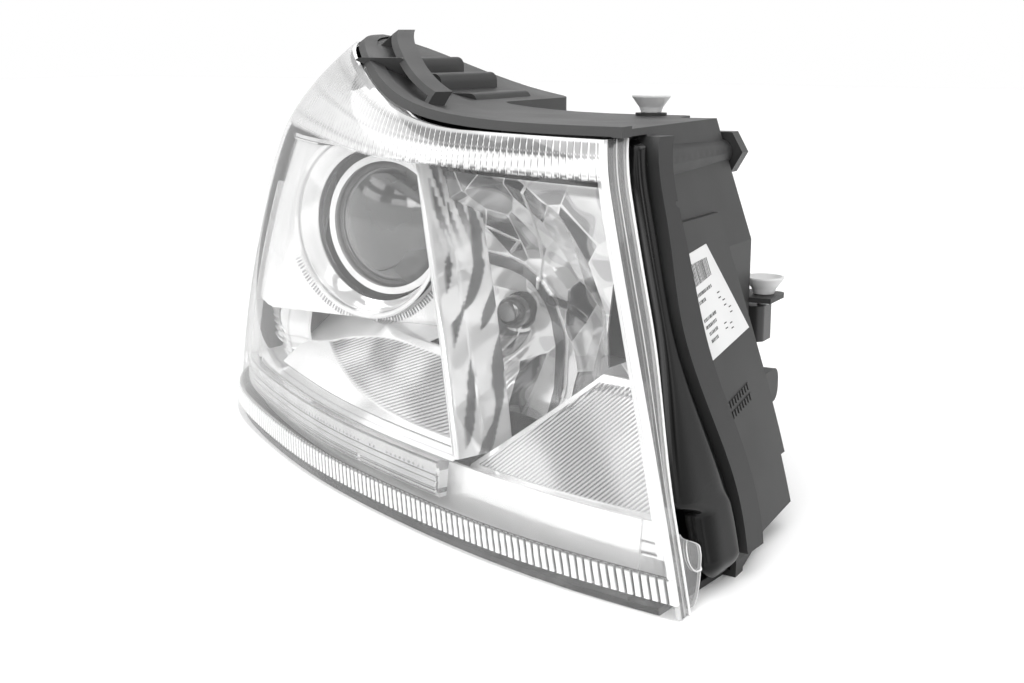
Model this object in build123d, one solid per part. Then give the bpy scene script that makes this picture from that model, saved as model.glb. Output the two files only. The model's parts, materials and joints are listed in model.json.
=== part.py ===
from build123d import *
import os
from math import cos, sin, radians

# Right-hand car headlamp, in millimetres, +Z up, +Y to the back of the car, +X to the grille.
# While it is drawn, zero is the lens's bottom inner corner. At the end everything moves so that
# the origin is the centre of the base of the whole lamp.

# ---- lens and front surface ----
LENS_PLAN = [(4, -1), (-86, 15), (-180, 49), (-252, 84), (-335, 138), (-405, 202), (-440, 280)]
LENS_BOTTOM = 0.6
RIB_BASE = 7.0            # bottom of the ribbed band, above the clear lip
LENS_TOP = 194.5
WING_RISE = 43.0          # how much higher the lens is at the wing
WING_START = 185.0        # distance round the plan curve where the top edge starts to rise
WING_RUN = 300.0
LENS_WALL = 2.6

# ---- housing ----
WALL = 2.8
LIP = 4.0                 # how far the housing stands outside the lens edge
BACK_OUTER = 300.0        # rear wall behind the projector
BACK_INNER = 208.0        # rear wall behind the high beam
BACK_SIDE = 180.0         # rear wall beside the high beam
SIDE_BREAK = 142.0        # where the inner side wall steps inward
STEP_OUTER_X = -205.0
STEP_INNER_X = -84.0

# ---- optics ----
PROJECTOR = Vector(-263, 178, 131.5)     # centre of the projector glass's rim
GLASS_R = 38.0
BEZEL = Vector(-272, 163, 131.5)         # centre of the projector bezel's front ring
BEZEL_R = 54.5
BEZEL_CANT = 5.0
HIGH_BEAM = Vector(-160, 150, 94)        # bottom of the high-beam dish
BULB_HOLE_R = 10.5
COLLAR_R = 22.0           # ring behind the dish that the bulb is clipped into
DISH_FOCUS = 25.0
DISH_SCREWS = ((-31, 10), (31, 10), (0, 40))     # from the dish's centre, across and up
BULB_SEAT = 26.0          # from the dish's bottom back to the high-beam bulb's flange
PIVOT = Vector(-62, 128, 150)            # ball that the optics swing on
SCREW_X = -106.0                         # horizontal aim rod, level with the ball
SHAFT_Y = 199.0                          # upright shaft that turns the horizontal aim
ROD_Z = 90.0                             # levelling rod, straight below the ball
PLATE_Y = 188.0                          # front of the carrier plate
PLATE = 3.0
ARM_X = -92.0                            # inner end of the carrier plate
SOCKET_PLATE_Y = 126.5
BALL_R = 5.0
ROD_BALL_R = 4.0
ROD_R = 2.5
SHAFT_R = 3.2             # aim rods and the shafts that turn them
RUNNING = 0.05            # clearance of a running fit
SCREW_HEAD_R = 3.0
SCREW_HEAD = 2.4          # thickness of a screw head
BULB_PLANE_Y = 284.0                     # seat of the low-beam bulb
GAP = 0.4                 # clearance between parts that only stand beside each other

# ---- service parts ----
LOW_NECK_R = 50.0
HIGH_NECK_R = 42.0
NECK_DEPTH = 12.0
CAP_DEPTH = 15.0
CAP_WALL = 3.4
GRIP_RIBS = 12            # ribs round a service cap

plan_curve = Spline(*LENS_PLAN)
PLAN_LENGTH = plan_curve.length


def smooth(t):
    t = min(1.0, max(0.0, t))
    return t * t * (3 - 2 * t)


def lean(z):
    """How far the lens leans back at height z."""
    return 0.05 * z + 0.0008 * z * z + 0.006 * max(0.0, z - 170) ** 2


def on_front(s, z, inward=0.0):
    """Point s along the plan curve, at height z, moved inward from the lens's outer face."""
    inside = min(PLAN_LENGTH, max(0.0, s))
    point = plan_curve.position_at(inside, position_mode=PositionMode.LENGTH)
    along = plan_curve.tangent_at(inside, position_mode=PositionMode.LENGTH)
    x = point.X + along.X * (s - inside)
    y = point.Y + along.Y * (s - inside)
    shift = lean(z) + inward
    return Vector(x + along.Y * shift, y - along.X * shift, z)


def lens_start(z):
    return 6.5 + 0.229 * z + 0.00079 * z * z


def skirt_back(z):
    """Depth of the lens skirt's rear edge."""
    return 11 + 8 * smooth((z - 40) / 80)


def seal_front(z):
    return skirt_back(z) + 1 + 16 * smooth((44 - z) / 8)


def seal_back(z):
    """Depth of the seal's rear edge. The seal is widest near the foot."""
    return 32 + 28 * smooth((120 - z) / 95)


def strip_back(z):
    return seal_back(z) + 12 + 6 * smooth((170 - z) / 50)


def lens_end(z):
    return PLAN_LENGTH - 0.22 * z


def lens_top(s):
    return LENS_TOP + WING_RISE * smooth((s - WING_START) / WING_RUN)


def divider_line(z):
    return 150 + 0.17 * z + 0.00185 * z * z


def frame_line(z):
    return 18 + 0.2 * z + 0.001 * z * z


def value(rule, place):
    return rule(place) if callable(rule) else rule


def grid_face(points):
    return Face.make_surface_from_array_of_points(points, tol=0.005)


def front_block(s_from, s_to, z_from, z_to, near, far, columns=14, rows=8, flat_back=None):
    """Solid between two depths behind the front surface. Limits are numbers or rules."""
    near_grid, far_grid = [], []
    for i in range(columns):
        u = i / (columns - 1)
        near_row, far_row = [], []
        for j in range(rows):
            v = j / (rows - 1)
            z = value(z_from, 0) * (1 - v) + value(z_to, 300) * v
            for _ in range(4):
                s = value(s_from, z) * (1 - u) + value(s_to, z) * u
                z = value(z_from, s) * (1 - v) + value(z_to, s) * v
            near_row.append(on_front(s, z, value(near, z)))
            back = on_front(s, z, value(far, z))
            if flat_back is not None:
                back = Vector(near_row[-1].X, flat_back, z)
            far_row.append(back)
        near_grid.append(near_row)
        far_grid.append(far_row)
    near_face, far_face = grid_face(near_grid), grid_face(far_grid)
    faces = [near_face, far_face]
    middle_column, middle_row = columns // 2, rows // 2
    sides = [(0, middle_row), (columns - 1, middle_row), (middle_column, 0), (middle_column, rows - 1)]
    for i, j in sides:
        edge_a = min(near_face.edges(), key=lambda e: e.distance_to(near_grid[i][j]))
        edge_b = min(far_face.edges(), key=lambda e: e.distance_to(far_grid[i][j]))
        faces.append(Face.make_surface_from_curves(edge_a, edge_b))
    solid = Solid(Shell(faces))
    return solid if solid.volume > 0 else Solid(Shell([-f for f in faces]))


def behind(inward):
    """Everything further back than a surface that lies inward of the lens's outer face."""
    return front_block(-30, PLAN_LENGTH + 70, -12, 262, inward, 0, columns=30, rows=16, flat_back=420)


def front_outline(grow):
    """Front view of the lens edge, grown outward, as a face standing at the front of the lamp."""
    inner = [on_front(lens_start(z), z) for z in (RIB_BASE, 60, 130, LENS_TOP)]
    top = [on_front(s, lens_top(s)) for s in (lens_start(LENS_TOP), 180, 260, 340, 420, 500)]
    outer = on_front(lens_end(RIB_BASE), RIB_BASE)
    inner = [(p.X + grow, p.Z) for p in inner]
    top = [(p.X + grow * (1 - 2 * i / 5), p.Z + grow) for i, p in enumerate(top)]
    inner[-1] = top[0]
    base = LIP - grow
    foot_in, foot_out = (inner[0][0], base), (outer.X - grow, base)
    edges = [Spline(*inner), Spline(*top), Line(top[-1], foot_out), Line(foot_out, foot_in),
             Line(foot_in, inner[0])]
    return Plane.XZ * Face(Wire(edges))


def plan_mask(shrink):
    """Plan view of the housing body: a stepped rear with rounded corners."""
    corners = [(60, -60), (60, BACK_SIDE), (STEP_INNER_X, BACK_SIDE), (STEP_INNER_X, BACK_INNER),
               (STEP_OUTER_X, BACK_INNER), (STEP_OUTER_X, BACK_OUTER), (-480, BACK_OUTER), (-480, -60)]
    face = Face(Wire(FilletPolyline(*corners, radius=9, close=True).edges()))
    if shrink:
        face = offset(face, amount=-shrink)
    return extrude(face, amount=320, dir=(0, 0, 1)).moved(Location((0, 0, -20)))


def wedge(x_from, x_to, profile):
    """Solid cut away under the housing, drawn in side view."""
    face = Face(Wire(Polyline(*[(x_from, y, z) for y, z in profile], close=True).edges()))
    return extrude(face, amount=x_to - x_from, dir=(1, 0, 0))


def cylinder_y(center, radius, depth):
    """Solid cylinder that starts at center and runs back along +Y."""
    plane = Plane(origin=center, x_dir=(1, 0, 0), z_dir=(0, 1, 0))
    return extrude(plane * Circle(radius), amount=depth)


def tube_y(center, outer, inner, depth):
    return cylinder_y(center, outer, depth) - cylinder_y(center, inner, depth)


def cylinder_z(center, radius, height):
    return extrude(Plane(origin=center) * Circle(radius), amount=height)


def cylinder_x(center, radius, length):
    plane = Plane(origin=center, x_dir=(0, 1, 0), z_dir=(1, 0, 0))
    return extrude(plane * Circle(radius), amount=length)


def turned(center, profile):
    """Solid of revolution about an axis along +Y through center. Profile is (radius, back)."""
    points = [(center.X + r, center.Y + y, center.Z) for r, y in profile]
    face = Face(Wire(Polyline(*points, close=True).edges()))
    return revolve(face, axis=Axis(center, (0, 1, 0)))


def block(x, y, z):
    """Box between two corners given as ranges."""
    size = Box(x[1] - x[0], y[1] - y[0], z[1] - z[0])
    return size.moved(Location(((x[0] + x[1]) / 2, (y[0] + y[1]) / 2, (z[0] + z[1]) / 2)))


def at(point, dx=0.0, dy=0.0, dz=0.0):
    return Vector(point.X + dx, point.Y + dy, point.Z + dz)


LOW_NECK = Vector(PROJECTOR.X, BACK_OUTER, PROJECTOR.Z)
HIGH_NECK = Vector(-152, BACK_INNER, 97)
MOTOR = Vector(PIVOT.X, BACK_SIDE, ROD_Z)
SCREW = Vector(SCREW_X, BACK_INNER, PIVOT.Z)
MOTOR_LUGS = ((-12.9, -12.9), (12.9, -12.9))
TOWER_TOP = 199.5
KNOB = Vector(-37, 194, 106.5)           # vertical adjuster, on a shelf over the motor
TURN_BULB = Vector(-328, BACK_OUTER, 197)
POSITION_BULB = Vector(-372, BACK_OUTER, 62)
CONNECTOR = Vector(-240, BACK_OUTER, 42)
SLEEVE = Vector(-60, 62, 181)
SIDE_TUBE_LENGTH = 122
STUD_R = 3.0
STUD_REACH = 28.8                        # free end of the stud past the tube
FOOT_SLOPE_SIDE = [(70, -20), (70, 2), (100, 10), (200, 15), (260, 15), (260, -20)]
FOOT_SLOPE_MIDDLE = [(60, -20), (60, 0), (210, 34), (260, 34), (260, -20)]
SIDE_RECESS = [(-30, -30), (-30, 50), (-40, 80), (-40, 157), (80, 157), (80, -30)]
ROOF_STEPS = ((-300, -262, 228), (-266, -238, 219), (-242, -214, 208))
SWELLINGS = ((59, 18, 195), (29, 26, 192))       # height, width and rear end of each
PANEL_TOP = 155.0


def side_recess(shrink):
    """Solid cut away behind the step in the inner side wall, drawn in front view."""
    points = [(x - shrink, SIDE_BREAK - shrink, z + shrink * (z > 100)) for x, z in SIDE_RECESS]
    face = Face(Wire(Polyline(*points, close=True).edges()))
    return extrude(face, amount=90, dir=(0, 1, 0))


def outline_prism(grow):
    return extrude(front_outline(grow), amount=460, dir=(0, 1, 0)).moved(Location((0, -30, 0)))


def housing():
    outer, inner = outline_prism(LIP), outline_prism(LIP - WALL)
    slopes = ((STEP_INNER_X, 60, FOOT_SLOPE_SIDE), (STEP_OUTER_X, STEP_INNER_X + 1, FOOT_SLOPE_MIDDLE))
    shell = outer & plan_mask(0) & behind(LENS_WALL + GAP)
    cavity = inner & plan_mask(WALL)
    for x_from, x_to, profile in slopes:
        shell -= wedge(x_from, x_to, profile)
        cavity -= wedge(x_from - WALL, x_to, profile).moved(Location((0, -1.5, 3.0)))
    shell -= side_recess(0)
    cavity -= side_recess(WALL)
    shell -= cavity
    shell += front_edges(inner)
    shell += side_details(outer) - cavity
    shell -= front_block(-30, lambda z: lens_start(z) + 11, -8, LENS_TOP + 0.8, -6,
                         lambda z: seal_back(z) + 1.2)
    shell -= cylinder_y(at(SLEEVE, dy=-30), 5.2, SIDE_TUBE_LENGTH + 60)
    shell -= cylinder_x((-70, 80, 165), 1.6, 60)
    for x_from, x_to, top in ROOF_STEPS:
        step = block((x_from, x_to), (196, 262), (192, top))
        shell += (fillet(step.edges().filter_by(Axis.Y), 5) & plan_mask(1)) - cavity
    return rear_details(shell, inner)


def front_edges(inner):
    """Raised flange round the lens, and the lip that the lens stands on."""
    ring = outline_prism(LIP + 1.5) & behind(LENS_WALL + GAP)
    ring = (ring - behind(13) - inner) & block((-470, 30), (-30, BACK_OUTER), (0, 260))
    return ring + front_block(34, PLAN_LENGTH - 2, 0, RIB_BASE - GAP, LENS_WALL + 2 * GAP, 22, rows=2)


def side_details(outer):
    """Flange strip, label panel, swellings and sleeve tube on the inner side."""
    details = front_block(lambda z: lens_start(z) - 5.5, lambda z: lens_start(z) + 9, 12, LENS_TOP,
                          seal_back, strip_back)
    panel = (outline_prism(LIP + 3) - outer) & block((-60, 30), (66, 140), (38, PANEL_TOP))
    details += panel - wedge(-60, 60, FOOT_SLOPE_SIDE)
    for z, height, rear in SWELLINGS:
        swell = block((-45, -27.5), (SIDE_BREAK - 4, rear), (z - height / 2, z + height / 2))
        details += fillet(swell.edges().filter_by(Axis.X), 7)
    plane = Plane(origin=SLEEVE, x_dir=(1, 0, 0), z_dir=(0, 1, 0))
    details += extrude(plane * Circle(10), amount=SIDE_TUBE_LENGTH, taper=1.6)
    return details + block((-75, SLEEVE.X + 4), (62, BACK_SIDE), (SLEEVE.Z - 8, SLEEVE.Z + 4))


def rear_details(shell, inner):
    """Service openings, seats for what is mounted on the rear, and the pivot bracket inside."""
    for neck, radius in ((LOW_NECK, LOW_NECK_R), (HIGH_NECK, HIGH_NECK_R)):
        shell -= cylinder_y(at(neck, dy=-8), radius + 0.1, 20)
    shell += cylinder_y(at(MOTOR, dy=-1), 17, 4)
    shell -= cylinder_y(at(MOTOR, dy=-8), 12, 16)
    shell += cylinder_y(at(SCREW, dy=-1), 9, 9)
    shell -= cylinder_y(at(SCREW, dy=-8), SHAFT_R + RUNNING, 20)
    shell += cylinder_z((SCREW_X, SHAFT_Y, LENS_TOP), 8.5, TOWER_TOP - LENS_TOP)
    shell -= cylinder_z((SCREW_X, SHAFT_Y, LENS_TOP - 6), SHAFT_R + RUNNING, 20)
    shelf = block((-52, KNOB.X + 9), (BACK_SIDE - 1, KNOB.Y + 11), (KNOB.Z - 2.5, KNOB.Z))
    shell += fillet(shelf.edges().filter_by(Axis.Z).group_by(Axis.Y)[-1], 5)
    shell -= cylinder_z(at(KNOB, dz=-6), SHAFT_R + RUNNING, 12)
    for seat, radius in ((TURN_BULB, 18), (POSITION_BULB, 14)):
        shell += cylinder_y(at(seat, dy=-1), radius, 5)
        shell -= cylinder_y(at(seat, dy=-8), radius - 4, 16)
    socket_x = (CONNECTOR.X - 20, CONNECTOR.X + 20)
    shell += block(socket_x, (BACK_OUTER - 1, BACK_OUTER + 4), (32, 52))
    shell -= block((CONNECTOR.X - 17, CONNECTOR.X + 17), (BACK_OUTER - 8, BACK_OUTER + 8), (35, 49))
    bracket = block((PIVOT.X - 8, 0), (PIVOT.Y - 8, BACK_SIDE - 1), (PIVOT.Z + 11, PIVOT.Z + 17))
    shell += bracket & inner
    return shell - cylinder_z(at(PIVOT, dz=9), ROD_R + RUNNING, 12)


def outer_lens():
    face = front_block(lens_start, lens_end, LENS_BOTTOM, lens_top, 0, LENS_WALL)
    skirt = front_block(lens_start, lambda z: lens_start(z) + LENS_WALL, LENS_BOTTOM, LENS_TOP,
                        LENS_WALL - 0.2, skirt_back)
    foot = front_block(lens_start, lambda z: lens_start(z) + 10, LENS_BOTTOM, LENS_BOTTOM + LENS_WALL, 1, 10,
                       rows=2)
    ear = front_block(lens_start, lambda z: lens_start(z) + 1.8, 4, 34, 9, 26)
    return face + skirt + foot + ear


def edge_seal():
    return front_block(lambda z: lens_start(z) - 3, lambda z: lens_start(z) + 8, 6, LENS_TOP - 1,
                       seal_front, seal_back)


def upper_strap(body):
    strap = front_block(262, 452, lambda s: lens_top(s) + 6, lambda s: lens_top(s) + 9, 17, 28, rows=2)
    for s in (262, 446):
        strap += front_block(s, s + 6, lambda s: lens_top(s) - 12, lambda s: lens_top(s) + 7, 17, 28,
                             columns=3, rows=2)
    return strap - body - outline_prism(LIP - WALL)


def type_label():
    skin = outline_prism(LIP + 3.35) - outline_prism(LIP + 3)
    shape = [(112, 143), (76, 140), (73, 115), (81, 94), (135, 100)]
    return skin & wedge(-60, 30, shape)


def projector_bezel():
    front = Plane(origin=BEZEL, x_dir=(1, 0, 0), z_dir=(0, 1, 0)).rotated((0, 0, -BEZEL_CANT))
    back = Plane(origin=at(PROJECTOR, dy=-3.5), x_dir=(1, 0, 0), z_dir=(0, 1, 0))
    bowl_r = GLASS_R + 6.8
    outer = loft([front * Circle(BEZEL_R), back * Circle(bowl_r + 1.5)])
    inner = loft([front * Circle(BEZEL_R - 2), back * Circle(bowl_r)])
    rim = extrude(front * (Circle(BEZEL_R) - Circle(BEZEL_R - 2)), amount=-2.5)
    return ((outer - inner) + rim) & block((-340, -200), (140, 190), (60, 177.8))


def outer_trim():
    panel = block((-346, -210), (168, 170.5), (74.4, 176.5)) & behind(8)
    return panel - cylinder_y(at(BEZEL, dy=-30), BEZEL_R + 2.5, 60)


def divider_fin():
    def fin(inset, near, far):
        return front_block(lambda z: divider_line(z) - 9.5 + inset, lambda z: divider_line(z) - inset,
                           39 + inset, 176 - inset, near, far)
    return fin(0, 9, 44) - fin(2, 11, 60)


def outer_flute_panel():
    return front_block(lambda z: divider_line(z) + 4, 386, 39, 74,
                       lambda z: 20 + (z - 39), lambda z: 22 + (z - 39))


def panel_top(s):
    return 84 - 0.78 * max(0.0, s - 92)


def inner_flute_panel():
    return front_block(lambda z: frame_line(z) + 1, 158, 27.5, panel_top,
                       lambda z: 20 + 0.46 * (z - 27.5), lambda z: 22 + 0.46 * (z - 27.5))


def inner_trim():
    strip = front_block(lambda z: lens_start(z) + 5, frame_line, 22, 176, 8, 10)
    wall = front_block(lambda z: frame_line(z) - 2, frame_line, 22, 176, 9.8, 32)
    return strip + wall


def lower_trim():
    return front_block(36, 462, 9.5, 35, 14, 16)


def light_guide():
    bar = front_block(159, 462, 18.5, 36.5, 6, 12)
    return bar + front_block(450, 462, 30, 150, 6, 12)


def turn_signal_reflector():
    mirror = front_block(92, 488, 180, lambda s: lens_top(s) - 6, 20, 22)
    shelf = front_block(92, 488, 178.5, 180.5, 7, 22, rows=2)
    mirror = (mirror + shelf) & outline_prism(LIP - WALL - 1)
    return mirror - cylinder_y(at(TURN_BULB, dy=-160), 14, 160)


def turn_signal_bulb():
    """Glass bulb in front of its holder."""
    glass = cylinder_y(at(TURN_BULB, dy=-90), 9, 22)
    return fillet(glass.edges().filter_by(GeomType.CIRCLE).group_by(Axis.Y)[0], 7)


def turn_bulb_holder():
    snout = cylinder_y(at(TURN_BULB, dy=-67.5), 8, 70)
    return snout + cylinder_y(at(TURN_BULB, dy=4.4), 16.5, 5) + cylinder_y(at(TURN_BULB, dy=-3), 13.6, 8) \
        + block((TURN_BULB.X - 13, TURN_BULB.X + 13), (308, 318), (TURN_BULB.Z - 2, TURN_BULB.Z + 2))


def position_bulb():
    glass = cylinder_y(at(POSITION_BULB, dy=-40), 5, 20)
    return fillet(glass.edges().filter_by(GeomType.CIRCLE).group_by(Axis.Y)[0], 4)


def position_bulb_holder():
    snout = cylinder_y(at(POSITION_BULB, dy=-19.5), 7, 24)
    flange = cylinder_y(at(POSITION_BULB, dy=4.4), 13, 4) + cylinder_y(at(POSITION_BULB, dy=-3), 9.6, 8)
    return snout + flange + block((POSITION_BULB.X - 9, POSITION_BULB.X + 9), (307, 316), (60.5, 63.5))


def levelling_motor():
    case = cylinder_y(at(MOTOR, dy=3.4), 15.5, 26)
    case = fillet(case.edges().filter_by(GeomType.CIRCLE).group_by(Axis.Y)[-1], 3)
    case += cylinder_y(at(MOTOR, dy=-5), 11.6, 9)
    gears = block((KNOB.X - 14, KNOB.X + 3), (BACK_SIDE + 4, KNOB.Y + 8), (82, 101))
    case += fillet(gears.edges().filter_by(Axis.Z).group_by(Axis.X)[-1], 4)
    for dx, dz in MOTOR_LUGS:
        case += block((MOTOR.X + min(dx, 0) - 4, MOTOR.X + max(dx, 0) + 4), (BACK_SIDE + 3.6, BACK_SIDE + 7),
                      (ROD_Z + dz - 4, ROD_Z))
    return case - cylinder_y(at(MOTOR, dy=-8), ROD_R + RUNNING, 30)


def motor_screws():
    screws = [cylinder_y(at(MOTOR, dx=dx, dy=7.2, dz=dz), 2.4, 2.6) for dx, dz in MOTOR_LUGS]
    return Compound(children=screws)


def levelling_rod():
    ball = Sphere(ROD_BALL_R).moved(Location((PIVOT.X, PIVOT.Y, ROD_Z)))
    return ball + cylinder_y(Vector(PIVOT.X, PIVOT.Y, ROD_Z), ROD_R, BACK_SIDE + 16 - PIVOT.Y)


def pivot_ball():
    stem = cylinder_z(at(PIVOT, dz=2), ROD_R, 17.4)
    return Sphere(BALL_R).moved(Location(PIVOT)) + stem + cylinder_z(at(PIVOT, dz=17.1), 4, 3)


def optics_frame():
    plate = block((-309, ARM_X), (PLATE_Y, PLATE_Y + PLATE), (78, 171))
    plate = fillet(plate.edges().filter_by(Axis.Y), 14)
    plate -= cylinder_y(at(PROJECTOR, dy=-10), GLASS_R + 5.5, 40)
    plate -= cylinder_y(at(HIGH_BEAM, dy=20), 27, 40)
    plate -= cylinder_y((SCREW_X, 170, PIVOT.Z), 8, 40)
    plate -= block((-214, -196), (180, 200), (90, 150))
    arm = block((ARM_X - 4, ARM_X), (SOCKET_PLATE_Y, PLATE_Y + 1), (92, 152))
    ear = block((ARM_X - 4, PIVOT.X), (SOCKET_PLATE_Y, SOCKET_PLATE_Y + PLATE), (84, 156))
    frame = plate + arm + ear
    for z, radius in ((PIVOT.Z, 8), (ROD_Z, 7.5)):
        frame += cylinder_y((PIVOT.X, PIVOT.Y - 4.5, z), radius, 9)
    frame -= Sphere(BALL_R + RUNNING).moved(Location(PIVOT))
    frame -= cylinder_z(PIVOT, 3.4, 12)
    frame -= Sphere(ROD_BALL_R + 0.3).moved(Location((PIVOT.X, PIVOT.Y, ROD_Z)))
    return frame - cylinder_y((PIVOT.X, PIVOT.Y, ROD_Z), 3.4, 12)


def projector_glass():
    bulge = 15.0
    ball_r = (GLASS_R ** 2 + bulge ** 2) / (2 * bulge)
    dome = Sphere(ball_r).moved(Location(at(PROJECTOR, dy=ball_r - bulge)))
    return (dome & cylinder_y(at(PROJECTOR, dy=-20), GLASS_R, 20)) + cylinder_y(PROJECTOR, GLASS_R, 6)


def glass_ring():
    inner, outer = GLASS_R + 0.2, GLASS_R + 3.4
    return turned(PROJECTOR, [(inner, 0), (inner, 8), (outer, 8), (outer, -4.5), (inner - 0.8, -4.5),
                              (inner - 0.8, -2)])


def projector_bowl():
    flange = GLASS_R + 3.4
    return turned(PROJECTOR, [(flange - 3, 8.2), (flange, 8.2), (flange, 13.2), (flange + 8, 13.2),
                              (flange + 8, 16), (flange - 1, 16), (35, 46), (32.5, 46)])


def cutoff_shield():
    disc = cylinder_y(at(PROJECTOR, dy=46.2), 34, 1.5)
    return disc - block((-310, -220), (220, 230), (PROJECTOR.Z, 180))


def projector_reflector():
    def curve(depth, thick):
        reach = BULB_PLANE_Y - PROJECTOR.Y - 48
        return (40 + thick) * (1 - (depth / (reach + 6)) ** 2) ** 0.5
    depths = [0, 12, 24, 34, 42, 50]
    inside = [(curve(d, 0), 48 + d) for d in depths]
    outside = [(curve(d, 2), 48 + d) for d in reversed(depths)]
    shell = turned(PROJECTOR, inside + outside)
    seat = cylinder_y(at(PROJECTOR, dy=96), 26.5, BULB_PLANE_Y - PROJECTOR.Y - 96)
    return shell + (seat - cylinder_y(at(PROJECTOR, dy=80), 14, 60))


def bulb(plane_y, center, reach):
    """Capsule bulb on a flange at plane_y, reaching forward, with two contacts at its back."""
    seat = Vector(center.X, plane_y, center.Z)
    tip = cylinder_y(at(seat, dy=-reach), 5.5, reach - 3)
    tip = fillet(tip.edges().filter_by(GeomType.CIRCLE).group_by(Axis.Y)[0], 4)
    body = tip + cylinder_y(at(seat, dy=-5), 9, 6) + cylinder_y(at(seat, dy=0.1), 16.5, 1.2)
    body += cylinder_y(at(seat, dy=1.2), 8.5, 9)
    for dx in (-4, 4):
        contact = (seat.X + dx - 0.6, seat.X + dx + 0.6)
        body += block(contact, (plane_y + 9, plane_y + 16), (seat.Z - 3, seat.Z + 3))
    return body


def bulb_clip(plane_y, center):
    """Wire clip hinged below the bulb, with its two legs either side of the contacts."""
    y = plane_y + 2.6
    wire = [(center.X - 19, y, center.Z - 19), (center.X - 13, y, center.Z - 19),
            (center.X - 11, y, center.Z + 14), (center.X - 6, y, center.Z + 19),
            (center.X + 6, y, center.Z + 19), (center.X + 11, y, center.Z + 14),
            (center.X + 13, y, center.Z - 19), (center.X + 19, y, center.Z - 19)]
    path = FilletPolyline(*wire, radius=2.2)
    return sweep(Plane(origin=path @ 0, z_dir=path % 0) * Circle(0.8), path=path)


def high_beam_reflector():
    radii = [BULB_HOLE_R, 22, 36, 52, 70, 88, 106, 124]
    inside = [(r, -r * r / (4 * DISH_FOCUS)) for r in radii]
    outside = [(r, y + 2.4) for r, y in reversed(inside)]
    dish = turned(HIGH_BEAM, inside + outside)
    dish &= block((-197, -60), (0, 170), (42, 172))
    dish &= behind(24)
    dish -= front_block(lambda z: divider_line(z) - 15, 420, -10, 240, -6, 50)
    dish -= front_block(-30, lambda z: frame_line(z) + 5, -10, 240, -6, 54)
    dish -= front_block(20, 175, -10, lambda s: panel_top(s) + 6, -6, 56)
    dish -= front_block(lambda z: divider_line(z) - 15, 420, -10, 82, -6, 70)
    collar = tube_y(at(HIGH_BEAM, dy=-3), COLLAR_R, COLLAR_R - 4.8, BULB_SEAT + 3)
    lugs = [block((HIGH_BEAM.X + dx - 5, HIGH_BEAM.X + dx + 5), (140, PLATE_Y - 0.2),
                  (HIGH_BEAM.Z + dz - 5, HIGH_BEAM.Z + dz + 5)) for dx, dz in DISH_SCREWS]
    for lug in lugs:
        dish += lug - under_dish()
    return dish + collar


def under_dish():
    """Space in front of the dish's back face."""
    radii = [0, 20, 40, 60, 80]
    profile = [(r, 1 - r * r / (4 * DISH_FOCUS)) for r in radii]
    return turned(HIGH_BEAM, [(0, -120), *profile, (80, -120)])


def bulb_shield():
    """Round cap in front of the bulb, on a leg that stands in the bulb hole."""
    cap = cylinder_y(at(HIGH_BEAM, dy=-15), 8.7, 10)
    cap = fillet(cap.edges().filter_by(GeomType.CIRCLE).group_by(Axis.Y)[0], 6)
    cap -= cylinder_y(at(HIGH_BEAM, dy=-9), 7.2, 6)
    return cap + block((HIGH_BEAM.X - 2, HIGH_BEAM.X + 2), (HIGH_BEAM.Y - 8, HIGH_BEAM.Y + 10),
                       (HIGH_BEAM.Z - 9.2, HIGH_BEAM.Z - 7.8))


def carrier_screws():
    """Screws that hold the projector and the dish to the carrier plate."""
    reach = GLASS_R + 8
    places = [Vector(PROJECTOR.X + reach * cos(radians(angle)), PLATE_Y + 6.2,
                     PROJECTOR.Z + reach * sin(radians(angle))) for angle in (90, 210, 330)]
    places += [Vector(HIGH_BEAM.X + dx, PLATE_Y + PLATE + 0.2, HIGH_BEAM.Z + dz) for dx, dz in DISH_SCREWS]
    return Compound(children=[cylinder_y(place, SCREW_HEAD_R, SCREW_HEAD) for place in places])


def horizontal_aim_rod():
    ball = Sphere(ROD_BALL_R).moved(Location((SCREW_X, PLATE_Y + 1.5, PIVOT.Z)))
    return ball + cylinder_y((SCREW_X, PLATE_Y + 1.5, PIVOT.Z), SHAFT_R, 34)


def funnel(base):
    """White funnel that guides a screwdriver, on a short shaft."""
    outline = [(0, 0.3), (5.5, 0.3), (6.5, 3), (10.5, 8.5), (10.5, 9.3), (9.3, 9.3), (5, 3.5), (0, 3.5)]
    points = [(base.X + r, base.Y, base.Z + z) for r, z in outline]
    return revolve(Face(Wire(Polyline(*points, close=True).edges())), axis=Axis(base, (0, 0, 1)))


def horizontal_adjuster():
    base = Vector(SCREW_X, SHAFT_Y, TOWER_TOP)
    shaft = cylinder_z((SCREW_X, SHAFT_Y, 156), SHAFT_R, TOWER_TOP - 155)
    return funnel(base) + shaft + Cone(5.4, 3.5, 4).moved(Location((SCREW_X, SHAFT_Y, 157)))


def vertical_adjuster():
    return funnel(KNOB) + cylinder_z(at(KNOB, dz=-5.5), SHAFT_R, 6.5)


def adjusting_sleeve():
    end = at(SLEEVE, dy=SIDE_TUBE_LENGTH + 0.4)
    plane = Plane(origin=end, x_dir=(1, 0, 0), z_dir=(0, 1, 0))
    hexagon = extrude(plane * RegularPolygon(12, 6), amount=9) + cylinder_y(at(end, dy=8), 7, 9)
    return hexagon - cylinder_y(at(end, dy=-2), 3.5 + RUNNING, 40)


def fixing_stud():
    """Stepped stud: held in the tube, running in the sleeve, and free at the end."""
    start = at(SLEEVE, dy=SIDE_TUBE_LENGTH - 40)
    free_end = cylinder_y(start, STUD_R, STUD_REACH + 40)
    free_end = chamfer(free_end.edges().filter_by(GeomType.CIRCLE).group_by(Axis.Y)[-1], 1)
    return free_end + cylinder_y(start, 3.5, 57.8) + cylinder_y(start, 5.1, 30)


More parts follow.
